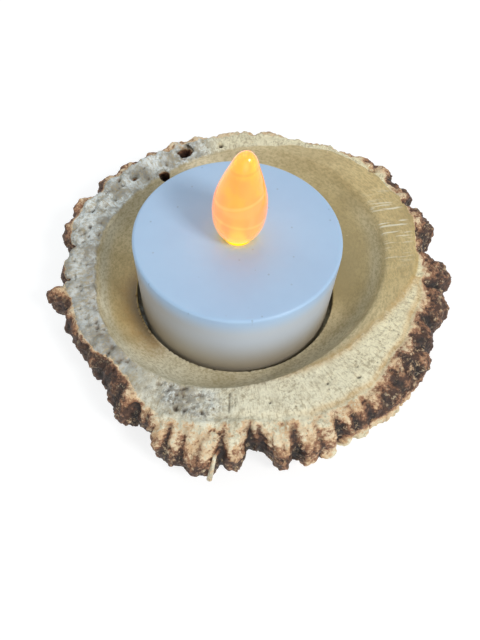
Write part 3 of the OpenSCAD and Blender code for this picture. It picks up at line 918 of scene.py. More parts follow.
@dataclass(frozen=True)
class PressedPowder:
    """Matt pressed or fibrous filling of the coin cell."""

    name: str
    colour: Colour
    shade: Colour
    grain: float = 0.3

    def material(self) -> bpy.types.Material:
        """Builds the material."""
        material, sheet = new_material(self.name)
        place = sheet.place()
        grain = sheet.noise(place, self.grain, 4.0, 0.65)
        colour = sheet.mix(sheet.ramp(grain, 0.35, 0.68), self.shade, self.colour)
        rough = sheet.ramp(grain, 0.3, 0.7, 0.7, 0.9)
        sheet.surface(Base_Color=colour, Roughness=rough, Normal=sheet.bump(grain, 0.04))
        return material


@dataclass(frozen=True)
class FlamePlastic:
    """Translucent amber plastic with a painted glow: the LED's light at its foot and along its folds is
    painted into its colour and emission. Heights are in millimetres.

    foot_z is the height of the shell's top above the table, and all others start from there.
    """

    foot_z: float
    amber: Colour = rgb(1.0, 0.42, 0.05)
    # Painted light: the yellow foot and the glows below stand for the LED's light inside the plastic.
    amber_foot: Colour = rgb(1.0, 0.68, 0.01)
    glow: Colour = rgb(1.0, 0.27, 0.06)
    glow_low: Colour = rgb(0.95, 0.34, 0.14)
    glow_foot: Colour = rgb(1.0, 0.68, 0.0)
    glow_core: Colour = rgb(1.0, 0.37, 0.02)
    glow_band: Colour = rgb(1.0, 0.55, 0.20)
    glow_crease: Colour = rgb(0.80, 0.20, 0.02)
    foot_span: Pair = (2.6, 1.4)
    fold_tilt: float = 0.25
    fold_span: Pair = (11.0, 10.2)
    # Height at the middle, half width, and rise for each step to the right of the lines across it.
    crease: Triple = (16.6, 0.35, 0.1)
    upper_band: Triple = (10.9, 0.45, fold_tilt)
    lower_band: Triple = (6.9, 0.5, -0.1)
    line_core: float = 0.1
    cloud_size: float = 3.4

    def level(self, sheet: Sheet, tilt: float) -> Socket:
        """Height above the shell's top, measured along planes that tilt up to the right.

        Args:
            sheet: The material's sheet.
            tilt: Rise of the planes for each step to the right.

        Returns:
            The height, in millimetres.
        """
        x, _, z = sheet.axes_mm()
        return sheet.minus(sheet.minus(z, sheet.times(x, tilt)), self.foot_z)

    def line(
        self, sheet: Sheet, glow: Socket, colour: Colour, height: float, width: float, tilt: float
    ) -> Socket:
        """Draws one of the lines that folds leave across the flame.

        Args:
            sheet: The material's sheet.
            glow: The glow so far.
            colour: The line's own glow.
            height: Its height at the middle.
            width: Distance from its middle where it ends.
            tilt: Its rise for each step to the right.

        Returns:
            The glow with the line.
        """
        apart = sheet.math("ABSOLUTE", sheet.minus(self.level(sheet, tilt), height))
        return sheet.mix(sheet.ramp(apart, width, self.line_core, 0.0, 0.8), glow, colour)

    def material(self) -> bpy.types.Material:
        """Builds the material."""
        material, sheet = new_material("amber_flame")
        foot = sheet.ramp(self.level(sheet, 0.0), *self.foot_span)
        cloud = sheet.noise(sheet.place(), self.cloud_size, 2.0)
        glow = sheet.mix(sheet.ramp(cloud, 0.35, 0.7), self.glow, self.glow_core)
        glow = self.line(sheet, glow, self.glow_crease, *self.crease)
        below_fold = sheet.ramp(self.level(sheet, self.fold_tilt), *self.fold_span)
        glow = sheet.mix(below_fold, glow, self.glow_low)
        glow = self.line(sheet, glow, self.glow_band, *self.upper_band)
        glow = self.line(sheet, glow, self.glow_band, *self.lower_band)
        glow = sheet.mix(foot, glow, self.glow_foot)
        sheet.surface(
            Base_Color=sheet.mix(foot, self.amber, self.amber_foot), Roughness=0.16, IOR=1.46,
            Transmission_Weight=0.55, Coat_Weight=0.4, Coat_IOR=1.8,
            Emission_Color=glow, Emission_Strength=0.42)
        return material


@dataclass(frozen=True)
class LedResin:
    """Clear resin of the lit LED; the lit span is in millimetres above the table."""

    colour: Colour = rgb(1.0, 0.66, 0.02)
    unlit: Colour = rgb(0.35, 0.16, 0.01)
    lit_span: Pair = (22.0, 25.0)

    def material(self) -> bpy.types.Material:
        """Builds the material."""
        material, sheet = new_material("lit_resin")
        _, _, z = sheet.axes_mm()
        lit = sheet.ramp(z, *self.lit_span)
        glow = sheet.mix(lit, self.unlit, self.colour)
        sheet.surface(
            Base_Color=self.colour, Roughness=0.12, IOR=1.5, Emission_Color=glow, Emission_Strength=3.2)
        return material


@dataclass(frozen=True)
class Ring:
    """One ring of a turned shape: radius, height above the seat's floor and shift to the right, in mm."""

    radius: float
    height: float
    shift: float = 0.0


def turned(name: str, sides: int, rings: Sequence[Ring], closed: bool) -> bpy.types.Object:
    """Models a turned shape from a circle, extruded and resized ring by ring.

    Args:
        name: The piece's name.
        sides: Number of points in a ring.
        rings: The rings, from first to last.
        closed: Whether the last ring runs back into the first; otherwise both ends are drawn to a point.

    Returns:
        The piece, at the origin.
    """
    deselect()
    first = rings[0]
    bpy.ops.mesh.primitive_circle_add(vertices=sides, radius=first.radius * MM, location=(0.0, 0.0, 0.0))
    piece = bpy.context.object
    piece.name = name
    middle = Vector((first.shift * MM, 0.0, (FLOOR_Z + first.height) * MM))
    path = list(rings[1:]) + ([first] if closed else [])
    with editing(piece):
        bpy.ops.mesh.select_mode(type="VERT")
        bpy.ops.mesh.select_all(action="SELECT")
        bpy.ops.transform.translate(value=middle)
        if not closed:
            bpy.ops.mesh.edge_face_add()
            bpy.ops.mesh.poke()
            pick(piece, Pick.POINTS, lambda point: (point.co - middle).length > 0.5 * first.radius * MM)
            bpy.ops.mesh.select_mode(type="EDGE")
        last = first
        for ring in path:
            target = Vector((ring.shift * MM, 0.0, (FLOOR_Z + ring.height) * MM))
            bpy.ops.mesh.extrude_region_move(TRANSFORM_OT_translate={"value": target - middle})
            share = ring.radius / last.radius
            bpy.ops.transform.resize(value=(share, share, 1.0), center_override=target)
            middle, last = target, ring
        if not closed:
            bpy.ops.mesh.edge_face_add()
            bpy.ops.mesh.poke()
        bpy.ops.mesh.select_all(action="SELECT")
        bpy.ops.mesh.remove_doubles(threshold=MERGE)
        bpy.ops.mesh.normals_make_consistent(inside=False)
    return piece


@dataclass
class Skin:
    """Points and normals of a mesh round the candle's axis, in millimetres and degrees."""

    place: np.ndarray
    normal: np.ndarray

    def __post_init__(self) -> None:
        """Works out the polar form."""
        x, y, self.z = self.place.T
        self.radius = np.hypot(x, y)
        self.angle = np.degrees(np.arctan2(y, x)) % 360.0

    @classmethod
    def read(cls, mesh: bpy.types.Mesh) -> "Skin":
        """Reads a mesh's points and normals."""
        count = len(mesh.vertices)
        place = np.empty(count * 3, np.float32)
        normal = np.empty(count * 3, np.float32)
        mesh.vertices.foreach_get("co", place)
        mesh.vertex_normals.foreach_get("vector", normal)
        return cls(place.reshape(-1, 3).astype(float) / MM, normal.reshape(-1, 3).astype(float))

    @staticmethod
    def write(mesh: bpy.types.Mesh, place: np.ndarray) -> None:
        """Moves a mesh's points to new places."""
        mesh.vertices.foreach_set("co", (place * MM).astype(np.float32).ravel())
        mesh.update()

    def arc_from(self, at: float) -> np.ndarray:
        """Signed way round the axis from a direction to each point, in millimetres."""
        return turn_from(self.angle, at) * np.radians(1.0) * self.radius

    def relief(self, mesh: bpy.types.Mesh, rounds: int) -> np.ndarray:
        """Height of each point over the surface smoothed round it, below 0 in hollows.

        Args:
            mesh: The mesh that was read.
            rounds: How often the smoothing is repeated.

        Returns:
            The heights, in millimetres.
        """
        count = len(self.place)
        ends = np.empty(len(mesh.edges) * 2, np.int32)
        mesh.edges.foreach_get("vertices", ends)
        first, second = ends.reshape(-1, 2).T
        links = np.bincount(first, minlength=count) + np.bincount(second, minlength=count)
        calm = self.place.copy()
        for _ in range(rounds):
            total = [
                np.bincount(first, calm[second, k], count) + np.bincount(second, calm[first, k], count)
                for k in range(3)
            ]
            calm = np.stack(total, axis=1) / np.maximum(links, 1)[:, None]
        return ((self.place - calm) * self.normal).sum(axis=1)


@dataclass(frozen=True)
class Grain:
    """One kind of bumps or pits: their size across and their height or depth, in millimetres."""

    size: float
    height: float


@dataclass
class Zones:
    """What each point of the burr belongs to, as arrays with one value a point.

    Attributes:
        lumps: Noise with the size of the lumps, from about -1 to 1.
        wobble: Broader noise.
        crumbs: Fine noise, 0 on the worked surfaces.
        gap: Distance from the bowl's true surface.
        slope: Slope of that surface.
        past_polish: Distance outside the edge of the polish.
        past_pearl: Distance outside the edge where the pearls start.
        drop: Depth below the uncut rim.
        polish: Share of the polished bowl.
        seat: Marks the bored seat.
        base: Marks the sawn underside.
        free: Share of what is neither polished, seat nor base.
        outside: Share of the pearled wall.
        ledge: Share of the sawn rim between the bowl and the pearls.
        grey: Share of the weathered, grey rim.
        patch: Share of the spongy patch at the front.
    """

    lumps: np.ndarray
    wobble: np.ndarray
    crumbs: np.ndarray
    gap: np.ndarray
    slope: np.ndarray
    past_polish: np.ndarray
    past_pearl: np.ndarray
    drop: np.ndarray
    polish: np.ndarray
    seat: np.ndarray
    base: np.ndarray
    free: np.ndarray
    outside: np.ndarray
    ledge: np.ndarray
    grey: np.ndarray
    patch: np.ndarray


@dataclass
class AntlerBurr:
    """The slice of burr, carved over a copy of its solid. Sizes are in millimetres, directions in degrees.

    A field that ends in _arc is a direction and a half width about it, and one in _ring a distance and a
    half width about that. One that ends in _from, _to or _fade is the start and the end of a ramp.
    """

    voxel: float = 0.335
    seat_r: float = 19.4
    seat_z: float = 8.2
    lip_r: float = 28.6
    bowl_dx: float = 0.4
    bowl_dy: float = 4.4
    bowl_oval: float = 1.7
    bowl_oval_at: float = 52.0
    bowl_rise: float = 4.6
    bowl_tilt: float = 0.9
    bowl_turn: float = 72.0
    shoulder_slope: float = 14.0
    lip_round: float = 0.45
    rim_h: float = 13.3
    rim_tilt: float = 1.9
    rim_high_at: float = 60.0
    # Radius of the edge of the polish, and of the edge where the pearls start, by direction.
    polish_edge: Table = (
        (0, 34.5), (8, 36), (20, 38), (45, 39), (60, 38), (70, 36.8), (80, 35.2), (88, 34.2),
        (95, 33.4), (102, 32.4), (111, 31.6), (122, 30.3), (135, 29.4), (150, 28.8), (165, 28.2),
        (177, 27.3), (191, 26.8), (226, 26.8), (245, 26.4), (253, 25.7), (261, 25.1), (267, 24.5),
        (275, 23.9), (288, 23.6), (299, 23.9), (307, 24.6), (320, 25.9), (330, 27), (338, 28.3),
        (347, 30.5), (354, 32.5),
    )
    pearl_edge: Table = (
        (0, 35.4), (7, 35.4), (18, 36.5), (26, 37.5), (35, 38.8), (42, 39.8), (50, 39.8), (60, 38.8),
        (75, 37.8), (90, 37.2), (105, 37), (120, 36.8), (140, 37), (160, 36.4), (180, 34.5),
        (200, 32.6), (212, 32), (222, 30.8), (232, 30.6), (240, 31.2), (248, 31.8), (257, 31.6),
        (267, 30.8), (277, 30.3), (286, 31.1), (292, 32), (298, 32.6), (309, 33.5), (316, 33.9),
        (321, 33.7), (327, 33.5), (335, 33.7), (345, 34.3), (352, 35),
    )
    # Depth below the rim where the wall starts and where its skin starts, and how far the skin then darkens.
    wall_start: Table = (
        (0, 1.6), (60, 1.6), (100, 2.2), (120, 3.2), (200, 3.2), (215, 2.4), (225, 1.6), (300, 1.6),
    )
    skin_start: Table = (
        (0, -0.6), (20, -0.6), (40, -0.4), (60, 0.4), (90, 0.6), (105, 0.2), (120, -0.1), (160, -0.2),
        (190, -0.3), (205, -0.2), (215, -0.6), (222, -1.5), (234, -1.5), (240, -0.2), (248, 0.9),
        (258, 1.4), (275, 1.4), (288, 1.2), (297, 0.9), (306, 0.2), (317, -0.6), (330, -1),
    )
    skin_span: Table = (
        (0, 2.6), (20, 2.6), (45, 3), (60, 4), (90, 4), (105, 3), (120, 2.6), (160, 2.4), (205, 2.4),
        (222, 1.5), (234, 2), (240, 4), (248, 5), (275, 5.4), (288, 5), (297, 5), (306, 4), (317, 3),
        (330, 2.6),
    )
    # How tan the bowl is at its foot and at its lip, and the painted shade on the bowl and the sawn rim.
    warm_seat: Table = (
        (0, 0.9), (60, 0.9), (110, 0.6), (140, 0.6), (165, 1), (205, 1), (222, 0.5), (235, 0.2),
        (262, 0.3), (300, 0.3), (335, 0.5),
    )
    warm_lip: Table = (
        (0, 0.9), (45, 0.9), (70, 0.7), (110, 0.5), (140, 0.4), (165, 0.6), (200, 0.6), (222, 0.2),
        (240, 0.05), (265, 0.2), (300, 0.35), (340, 0.75),
    )
    shade: Table = (
        (0, 0.8), (20, 1), (50, 0.8), (80, 0.3), (120, 0), (150, 0), (180, 0.25), (205, 0.4),
        (222, 0.1), (235, 0), (255, 0.05), (270, 0.25), (290, 0.05), (325, 0), (345, 0),
    )
    rim_shade: Table = (
        (0, 0), (100, 0), (160, 0), (178, 0.3), (212, 0.4), (235, 0.3), (248, 0.1), (260, 0),
        (340, 0),
    )
    # Direction, half width and depth of the clefts between the pearls.
    clefts: tuple[Triple, ...] = (
        (10, 0.7, 0.9), (15.3, 0.7, 0.8), (29.3, 0.6, 0.8), (39, 0.5, 0.7), (86.5, 0.5, 0.6),
        (98, 0.5, 0.6), (116.5, 0.5, 0.5), (126, 0.5, 0.5), (135.5, 0.5, 0.6), (147, 0.6, 0.6),
        (170, 0.6, 0.8), (184, 0.6, 1.0), (193, 0.6, 0.9), (200, 0.5, 0.7), (212, 0.5, 0.7),
        (219.5, 0.7, 0.9), (226, 0.5, 0.7), (233, 0.4, 0.6), (240, 0.5, 0.8), (245.5, 0.5, 0.7),
        (253, 0.45, 0.8), (257.5, 0.4, 0.6), (263, 0.3, 0.4), (268, 0.45, 0.9), (276.5, 0.8, 1.1),
        (279.3, 0.6, 0.9), (288.7, 0.55, 1.0), (295, 0.3, 0.5), (301.5, 0.5, 0.8), (306.5, 0.4, 0.7),
        (311.5, 0.4, 0.7), (317, 0.4, 0.6), (323, 0.45, 0.7), (330, 0.5, 0.8), (338, 0.5, 0.8),
        (345.5, 0.6, 0.9), (357.6, 0.6, 0.9),
    )
    # Direction, radius, half width and depth of the holes in the sawn rim.
    holes: tuple[tuple[float, float, float, float], ...] = (
        (97.6, 34.4, 0.5, 1.4), (146, 31.1, 0.6, 1.6), (154, 33.4, 0.45, 1.2), (45, 39.6, 0.9, 1.6),
        (128, 33.6, 0.3, 0.6), (139, 32.4, 0.35, 0.8), (161, 31.5, 0.4, 0.8), (306, 28.7, 0.28, 0.5),
        (315.7, 31.4, 0.28, 0.5), (293.5, 30.3, 0.25, 0.45), (260.8, 29.9, 0.4, 0.7),
        (252.1, 30.3, 0.4, 0.7), (255.2, 30.4, 0.35, 0.6), (318, 29.8, 0.2, 0.35),
        (284, 28.2, 0.2, 0.35),
    )
    # Direction, start and end radius, and half width of the cracks in the sawn rim.
    ledge_cracks: tuple[tuple[float, float, float, float], ...] = (
        (269.5, 25.3, 29.4, 0.16), (271.6, 25.2, 27.4, 0.1), (247.5, 25.8, 28.0, 0.12),
    )
    # Direction, radius and height of the two ends of the loose sliver at the front.
    sliver_ends: tuple[Triple, Triple] = ((265.6, 39.2, 5.4), (266.7, 37.0, 10.7))
    sliver_r: float = 0.5
    sliver_taper: float = 0.6
    sliver_sides: int = 9
    lump: Grain = Grain(3.2, 0.5)
    pearl: Grain = Grain(3.7, 0.6)
    bead: Grain = Grain(1.3, 0.2)
    crumb: Grain = Grain(0.9, 0.28)
    rim_lump: float = 0.45
    rim_crumb: float = 0.22
    pit: Grain = Grain(1.15, 0.75)
    knob: Grain = Grain(3.6, 0.7)
    sponge: Grain = Grain(0.95, 0.6)
    wobble_size: float = 5.0
    pit_patch_size: float = 2.6
    pearl_squash: float = 0.55
    rough_start_r: float = 25.5
    wall_start_r: float = 29.0
    wall_fade: float = 1.6
    polish_fray: float = 0.35
    pearl_fray: float = 0.5
    rim_groove: float = 0.35
    top_depth: float = 3.0
    hole_start_z: float = 7.0
    cleft_push: float = 0.55
    crack_depth: float = 0.4
    bore_slack: float = 0.15
    base_slack: float = 0.06
    relief_wide: int = 30
    relief_close: int = 5
    polish_fade: Pair = (0.3, -0.3)
    polish_gap_fade: Pair = (0.6, 0.25)
    tone_gap_fade: Pair = (1.2, 0.25)
    pearl_from: Pair = (-0.5, 1.1)
    cleft_from: Pair = (0.8, 3.0)
    bare_ring_fade: Pair = (0.7, -0.5)
    bare_top_fade: Pair = (2.4, 1.4)
    # Heights over which the right half turns paler towards the foot.
    pale_foot_fade: Pair = (6.0, 2.0)
    # Heights over which the painted rim light at the lower right fades.
    rim_light_fade: Pair = (9.8, 7.0)
    groove_ring: Pair = (-0.2, 0.6)
    honey_seam_ring: Pair = (-0.3, 0.6)
    honey_lip_ring: Pair = (0.0, 0.8)
    # Ring of the painted shade on the grey rim just outside the lip.
    lip_shade_ring: Pair = (1.0, 0.9)
    # Rings of the painted highlight along the lip, on the left and on the right.
    highlight_left_ring: Pair = (-1.1, 1.0)
    highlight_right_ring: Pair = (-1.6, 1.4)
    # Rings of the tea light's painted shadow beside the seat and of its dark line.
    shadow_ring: Pair = (0.0, 3.6)
    shadow_line_ring: Pair = (0.0, 2.2)
    grey_from: Pair = (96.0, 108.0)
    grey_to: Pair = (246.0, 222.0)
    patch_arc: Pair = (254.0, 14.0)
    patch_ring: Pair = (28.4, 3.4)
    right_from: Pair = (-75.0, -50.0)
    right_to: Pair = (70.0, 45.0)
    # Direction of the painted rim light at the lower right.
    rim_light_arc: Pair = (311.0, 19.0)
    # Directions of the painted highlight along the lip, on the left and on the right.
    highlight_left_arc: Pair = (192.0, 44.0)
    highlight_right_arc: Pair = (345.0, 60.0)
    soft_arc: Pair = (345.0, 16.0)
    scratch_arc: Pair = (22.0, 14.0)
    scratch_from: Pair = (-0.3, 0.4)
    scratch_to: Pair = (6.0, 4.5)
    # Directions where the tea light's painted shadow lies beside the seat.
    shadow_from: Pair = (160.0, 190.0)
    shadow_to: Pair = (240.0, 215.0)
    # Directions of the painted shade outside the lip, on the left.
    lip_shade_from: Pair = (150.0, 180.0)
    honey_lip_from: Pair = (262.0, 300.0)
    honey_seam_from: Pair = (288.0, 300.0)

    def solid_copy(self) -> bpy.types.Object:
        """Copy of the solid with its loose triangles merged and remeshed evenly.

        Returns:
            The new piece.
        """
        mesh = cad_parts["antler_burr"].data.copy()
        piece = bpy.data.objects.new("burr", mesh)
        bpy.context.scene.collection.objects.link(piece)
        with editing(piece):
            bpy.ops.mesh.remove_doubles(threshold=10.0 * MERGE)
        apply_modifier(piece, "REMESH", mode="VOXEL", voxel_size=self.voxel * MM)
        apply_modifier(piece, "SMOOTH", factor=0.5, iterations=2)
        return piece

    def lip_edge(self, angle: np.ndarray) -> np.ndarray:
        """Distance of the bowl's lip from the candle's axis in a direction."""
        t = np.radians(angle)
        across = self.bowl_dx * np.sin(t) - self.bowl_dy * np.cos(t)
        circle = self.bowl_dx * np.cos(t) + self.bowl_dy * np.sin(t) + np.sqrt(self.lip_r**2 - across**2)
        return circle + self.bowl_oval * np.cos(2.0 * np.radians(angle - self.bowl_oval_at))

    def bowl_height(self, skin: Skin) -> tuple[np.ndarray, np.ndarray]:
        """Height and slope of the polished bowl and of the shoulder outside its lip.

        Args:
            skin: The points to measure at.

        Returns:
            Heights and slopes there.
        """
        full = math.radians(self.bowl_turn)
        lip = self.lip_edge(skin.angle)
        width = lip - self.seat_r
        beyond = skin.radius - lip
        turn = np.arcsin(np.clip(1.0 + beyond / width, 0.0, 1.0) * math.sin(full))
        lift = self.bowl_rise + self.bowl_tilt * np.cos(np.radians(skin.angle - self.rim_high_at))
        rise = lift / (1.0 - math.cos(full))
        steep = rise * np.tan(turn) * math.sin(full) / width
        out = math.tan(math.radians(self.shoulder_slope))
        bowl = self.seat_z + rise * (1.0 - np.cos(turn)) + np.maximum(beyond, 0.0) * steep
        shoulder = self.seat_z + lift + beyond * out
        apart = (bowl - shoulder) / self.lip_round
        height = np.minimum(bowl, shoulder) - self.lip_round * np.log1p(np.exp(-np.abs(apart)))
        inside = 1.0 / (1.0 + np.exp(np.clip(apart, -40.0, 40.0)))
        return height, inside * steep + (1.0 - inside) * out

    def rim_height(self, angle: np.ndarray) -> np.ndarray:
        """Height of the uncut rim in a direction."""
        return self.rim_h + self.rim_tilt * np.cos(np.radians(angle - self.rim_high_at))

    def find_zones(self, skin: Skin) -> Zones:
        """Tells the bowl, the seat, the sawn rim and the pearled wall apart.

        Args:
            skin: The points of the remeshed copy.

        Returns:
            The zones.
        """
        place, radius, angle, z = skin.place, skin.radius, skin.angle, skin.z
        near_rim = radius > self.rough_start_r
        lumps = rough_noise(place, self.lump.size, 3, near_rim)
        wobble = rough_noise(place, self.wobble_size, 2, near_rim)
        bowl, slope = self.bowl_height(skin)
        gap = (z - bowl) / np.hypot(1.0, slope)
        past_polish = radius - (around(self.polish_edge, angle) + self.polish_fray * lumps)
        polish = smooth_step(*self.polish_gap_fade, np.abs(gap))
        polish *= smooth_step(*self.polish_fade, past_polish) * (radius > self.seat_r + self.bore_slack)
        seat = (radius < self.seat_r + 0.5) & (z < self.seat_z + 0.3) & (z > 0.5)
        base = z < self.base_slack
        free = (1.0 - polish) * ~seat * ~base
        past_pearl = radius - (around(self.pearl_edge, angle) + self.pearl_fray * wobble)
        drop = self.rim_height(angle) - z
        wall = smooth_step(0.0, self.wall_fade, drop - around(self.wall_start, angle))
        wall *= radius > self.wall_start_r
        outside = np.maximum(smooth_step(*self.pearl_from, past_pearl), wall) * free
        patch = sector(angle, *self.patch_arc) * band(radius, *self.patch_ring, 4)
        patch *= np.clip(0.75 + 0.6 * lumps, 0.0, 1.0)
        weathered = smooth_step(*self.grey_from, angle) * smooth_step(*self.grey_to, angle)
        return Zones(
            lumps=lumps, wobble=wobble, crumbs=rough_noise(place, self.crumb.size, 4, free > TRACE),
            gap=gap, slope=slope, past_polish=past_polish, past_pearl=past_pearl, drop=drop, polish=polish,
            seat=seat, base=base, free=free, outside=outside, ledge=free * (1.0 - outside),
            grey=np.clip(weathered + 0.9 * patch, 0.0, 1.0), patch=patch)

    def raise_relief(self, skin: Skin, zones: Zones) -> np.ndarray:
        """Relief of the pearled wall and of the rough, sawn rim.

        Args:
            skin: The points of the remeshed copy.
            zones: Their zones.

        Returns:
            The heights along the normals.
        """
        place, lumps, crumbs = skin.place, zones.lumps, zones.crumbs
        outside, ledge, grey, patch = zones.outside, zones.ledge, zones.grey, zones.patch
        on_wall, on_ledge = outside > TRACE, ledge > TRACE
        squashed = place * np.array([1.0, 1.0, self.pearl_squash]) + 0.8 * lumps[:, None]
        pearls = domes(squashed, self.pearl.size, on_wall)
        beads = domes(place, self.bead.size, on_wall)
        height = outside * (
            self.pearl.height * (pearls - 0.6) + self.bead.height * (beads - 0.5)
            + self.crumb.height * crumbs + self.lump.height * lumps)
        # The shifts keep the patterns of pits, sponge and knobs apart.
        pits = dots(place, self.pit.size, on_ledge, 0.12, 0.42)
        pits *= smooth_step(-0.2, 0.2, rough_noise(place + 40.0, self.pit_patch_size, 2, zones.free > TRACE))
        sponge = dots(place + 7.0, self.sponge.size, on_ledge & (patch > 0.05), 0.1, 0.45)
        knobs = domes(place + 15.0, self.knob.size, on_ledge & (grey > 0.1), 1.8)
        height -= ledge * patch * self.sponge.height * sponge
        height += ledge * (0.3 + 0.7 * grey) * (
            self.rim_lump * lumps + self.rim_crumb * crumbs - self.pit.height * pits)
        height += ledge * grey * (1.0 - patch) * self.knob.height * (knobs - 0.55)
        groove = band(zones.past_pearl, *self.groove_ring) * (zones.drop < self.top_depth)
        return height - zones.free * self.rim_groove * groove

    def cut_clefts(self, skin: Skin, zones: Zones) -> tuple[np.ndarray, np.ndarray, np.ndarray]:
        """Clefts between the pearls.

        Args:
            skin: The points of the remeshed copy.
            zones: Their zones.

        Returns:
            How far the points are pushed in, the wide grooves beside the clefts, where the skin is darkened
            as painted shade, and their dark lines of painted shade.
        """
        push, groove, dark = np.zeros((3, len(skin.place)))
        broken = np.clip(0.7 + 0.9 * zones.lumps, 0.15, 1.0)
        below_edge = smooth_step(*self.cleft_from, zones.past_pearl + 0.5 * zones.drop) * zones.outside
        for at, width, depth in self.clefts:
            sway = skin.arc_from(at) + 0.5 * zones.wobble + 0.3 * zones.lumps
            cut = bell(sway, width) * below_edge * broken
            push = np.maximum(push, self.cleft_push * depth * cut)
            groove = np.maximum(groove, depth * bell(sway, 2.0 * width) * zones.outside)
            # A dark line of painted shade along the cleft.
            dark = np.maximum(dark, 0.8 * cut * min(1.0, depth))
        return push, groove, dark

    def pierce_rim(self, skin: Skin, zones: Zones) -> tuple[np.ndarray, np.ndarray]:
        """Small holes and cracks of the sawn rim.

        Args:
            skin: The points of the remeshed copy.
            zones: Their zones.

        Returns:
            Their depths and their dark marks, which are painted shade inside them.
        """
        sunk, dark = np.zeros((2, len(skin.place)))
        x, y, z = skin.place.T
        for at, far, size, depth in self.holes:
            turn = math.radians(at)
            apart = np.hypot(x - far * math.cos(turn), y - far * math.sin(turn))
            sunk += depth * bell(apart, size, 4) * (z > self.hole_start_z)
            # Painted shade inside the hole.
            dark = np.maximum(dark, 0.9 * bell(apart, 0.8 * size, 4) * (z > self.hole_start_z))
        for at, start, stop, width in self.ledge_cracks:
            sway = skin.arc_from(at) + 0.5 * zones.lumps + 0.25 * zones.crumbs
            cut = bell(sway, width) * smooth_step(-0.3, 0.3, skin.radius - start)
            cut *= smooth_step(0.3, -0.3, skin.radius - stop) * zones.ledge
            sunk += self.crack_depth * cut
            # Painted shade inside each of the cracks.
            dark = np.maximum(dark, 0.5 * cut)
        return sunk, dark

    def move(
        self, mesh: bpy.types.Mesh, skin: Skin, zones: Zones, height: np.ndarray, push: np.ndarray
    ) -> None:
        """Moves the points, then trues the bowl, the seat and the underside.

        Args:
            mesh: The mesh that was read.
            skin: Its points.
            zones: Their zones.
            height: How far each point moves along its normal.
            push: How far it then moves towards the axis.
        """
        radius, z = skin.radius, skin.z
        moved = skin.place + skin.normal * height[:, None]
        moved[:, :2] *= (1.0 - push / np.maximum(radius, 1.0))[:, None]
        snapped = moved[:, 2] - zones.gap * np.hypot(1.0, zones.slope)
        moved[:, 2] = np.where(zones.polish > 0.5, snapped, moved[:, 2])
        bore = zones.seat & (z > FLOOR_Z + 0.2) & (radius < self.seat_r + self.bore_slack)
        moved[bore, :2] *= (self.seat_r / radius[bore])[:, None]
        moved[bore & (z > self.seat_z - 0.25), 2] = self.seat_z
        moved[:, 2] = np.maximum(moved[:, 2], 0.0)
        moved[zones.base, 2] = 0.0
        Skin.write(mesh, moved)

    def kept_skin(self, skin: Skin, zones: Zones, shape: np.ndarray) -> np.ndarray:
        """How much of the brown skin is left.

        Args:
            skin: The points before they moved.
            zones: Their zones.
            shape: What hollows and grooves add to the skin, partly as painted shade, and what crests wear
                from it.

        Returns:
            0 or less for bare bone, 1 for all the skin, more where painted shade darkens hollows and
            grooves.
        """
        angle, z, drop = skin.angle, skin.z, zones.drop
        down = drop + 0.5 * np.maximum(zones.past_pearl, 0.0)
        kept = (down - around(self.skin_start, angle)) / around(self.skin_span, angle)
        kept = np.clip(kept, -0.3, 1.2) + zones.outside * shape
        bare = smooth_step(*self.bare_ring_fade, zones.past_pearl + 1.3 * zones.grey * (1.0 - zones.patch))
        kept -= 1.2 * bare * smooth_step(*self.bare_top_fade, drop)
        # The right half turns paler towards the foot.
        turn = turn_from(angle, 0.0)
        right = smooth_step(*self.right_from, turn) * smooth_step(*self.right_to, turn)
        kept -= 0.5 * right * smooth_step(*self.pale_foot_fade, z)
        # Painted rim light: the lower right of the wall is shown pale, as bare bone.
        kept -= 1.1 * sector(angle, *self.rim_light_arc) * smooth_step(*self.rim_light_fade, z)
        return kept * zones.free - 0.5 * (1.0 - zones.free)

    def bowl_marks(self, skin: Skin, zones: Zones) -> dict[str, np.ndarray]:
        """Marks for the colours of the bowl and its shoulder, with painted shade and a painted highlight
        along the lip.

        Args:
            skin: The points before they moved.
            zones: Their zones.

        Returns:
            The marks by name.
        """
        radius, angle, past_polish = skin.radius, skin.angle, zones.past_polish
        lip_edge = self.lip_edge(angle)
        past_lip = radius - lip_edge
        up = np.clip((radius - self.seat_r) / (lip_edge - self.seat_r), 0.0, 1.0)
        warm = (1.0 - up) * around(self.warm_seat, angle) + up * around(self.warm_lip, angle)
        # Painted highlight along the lip: the bone is paler and less tan there.
        lip_highlight = band(past_polish, *self.highlight_left_ring) * sector(angle, *self.highlight_left_arc)
        lip_highlight += 0.5 * band(past_lip, *self.highlight_right_ring) * sector(angle, *self.highlight_right_arc)
        soft = 0.6 + 1.6 * sector(angle, *self.soft_arc, 2)
        tone = smooth_step(1.0, -1.0, past_polish / soft)
        scratch = sector(angle, *self.scratch_arc) * zones.polish
        scratch *= smooth_step(*self.scratch_from, past_lip) * smooth_step(*self.scratch_to, past_lip)
        return {
            "polish": zones.polish,
            "tone": tone * smooth_step(*self.tone_gap_fade, np.abs(zones.gap)),
            # The lip's painted highlight takes the tan out of the bowl there.
            "warm": warm * (1.0 - 0.85 * np.minimum(lip_highlight, 1.0)),
            "shade": around(self.shade, angle) * (1.0 - up**2) + zones.ledge * around(self.rim_shade, angle),
            "scratch": scratch,
        }

    def carve(self, piece: bpy.types.Object) -> dict[str, np.ndarray]:
        """Moves the points: smooths the bowl, roughens the rim, and cuts pearls, clefts and holes.

        Args:
            piece: The remeshed copy.

        Returns:
            The marks that the finish reads, by name.
        """
        mesh = piece.data
        skin = Skin.read(mesh)
        zones = self.find_zones(skin)
        push, groove, cleft_shade = self.cut_clefts(skin, zones)
        sunk, hole_shade = self.pierce_rim(skin, zones)
        self.move(mesh, skin, zones, self.raise_relief(skin, zones) - sunk, push)

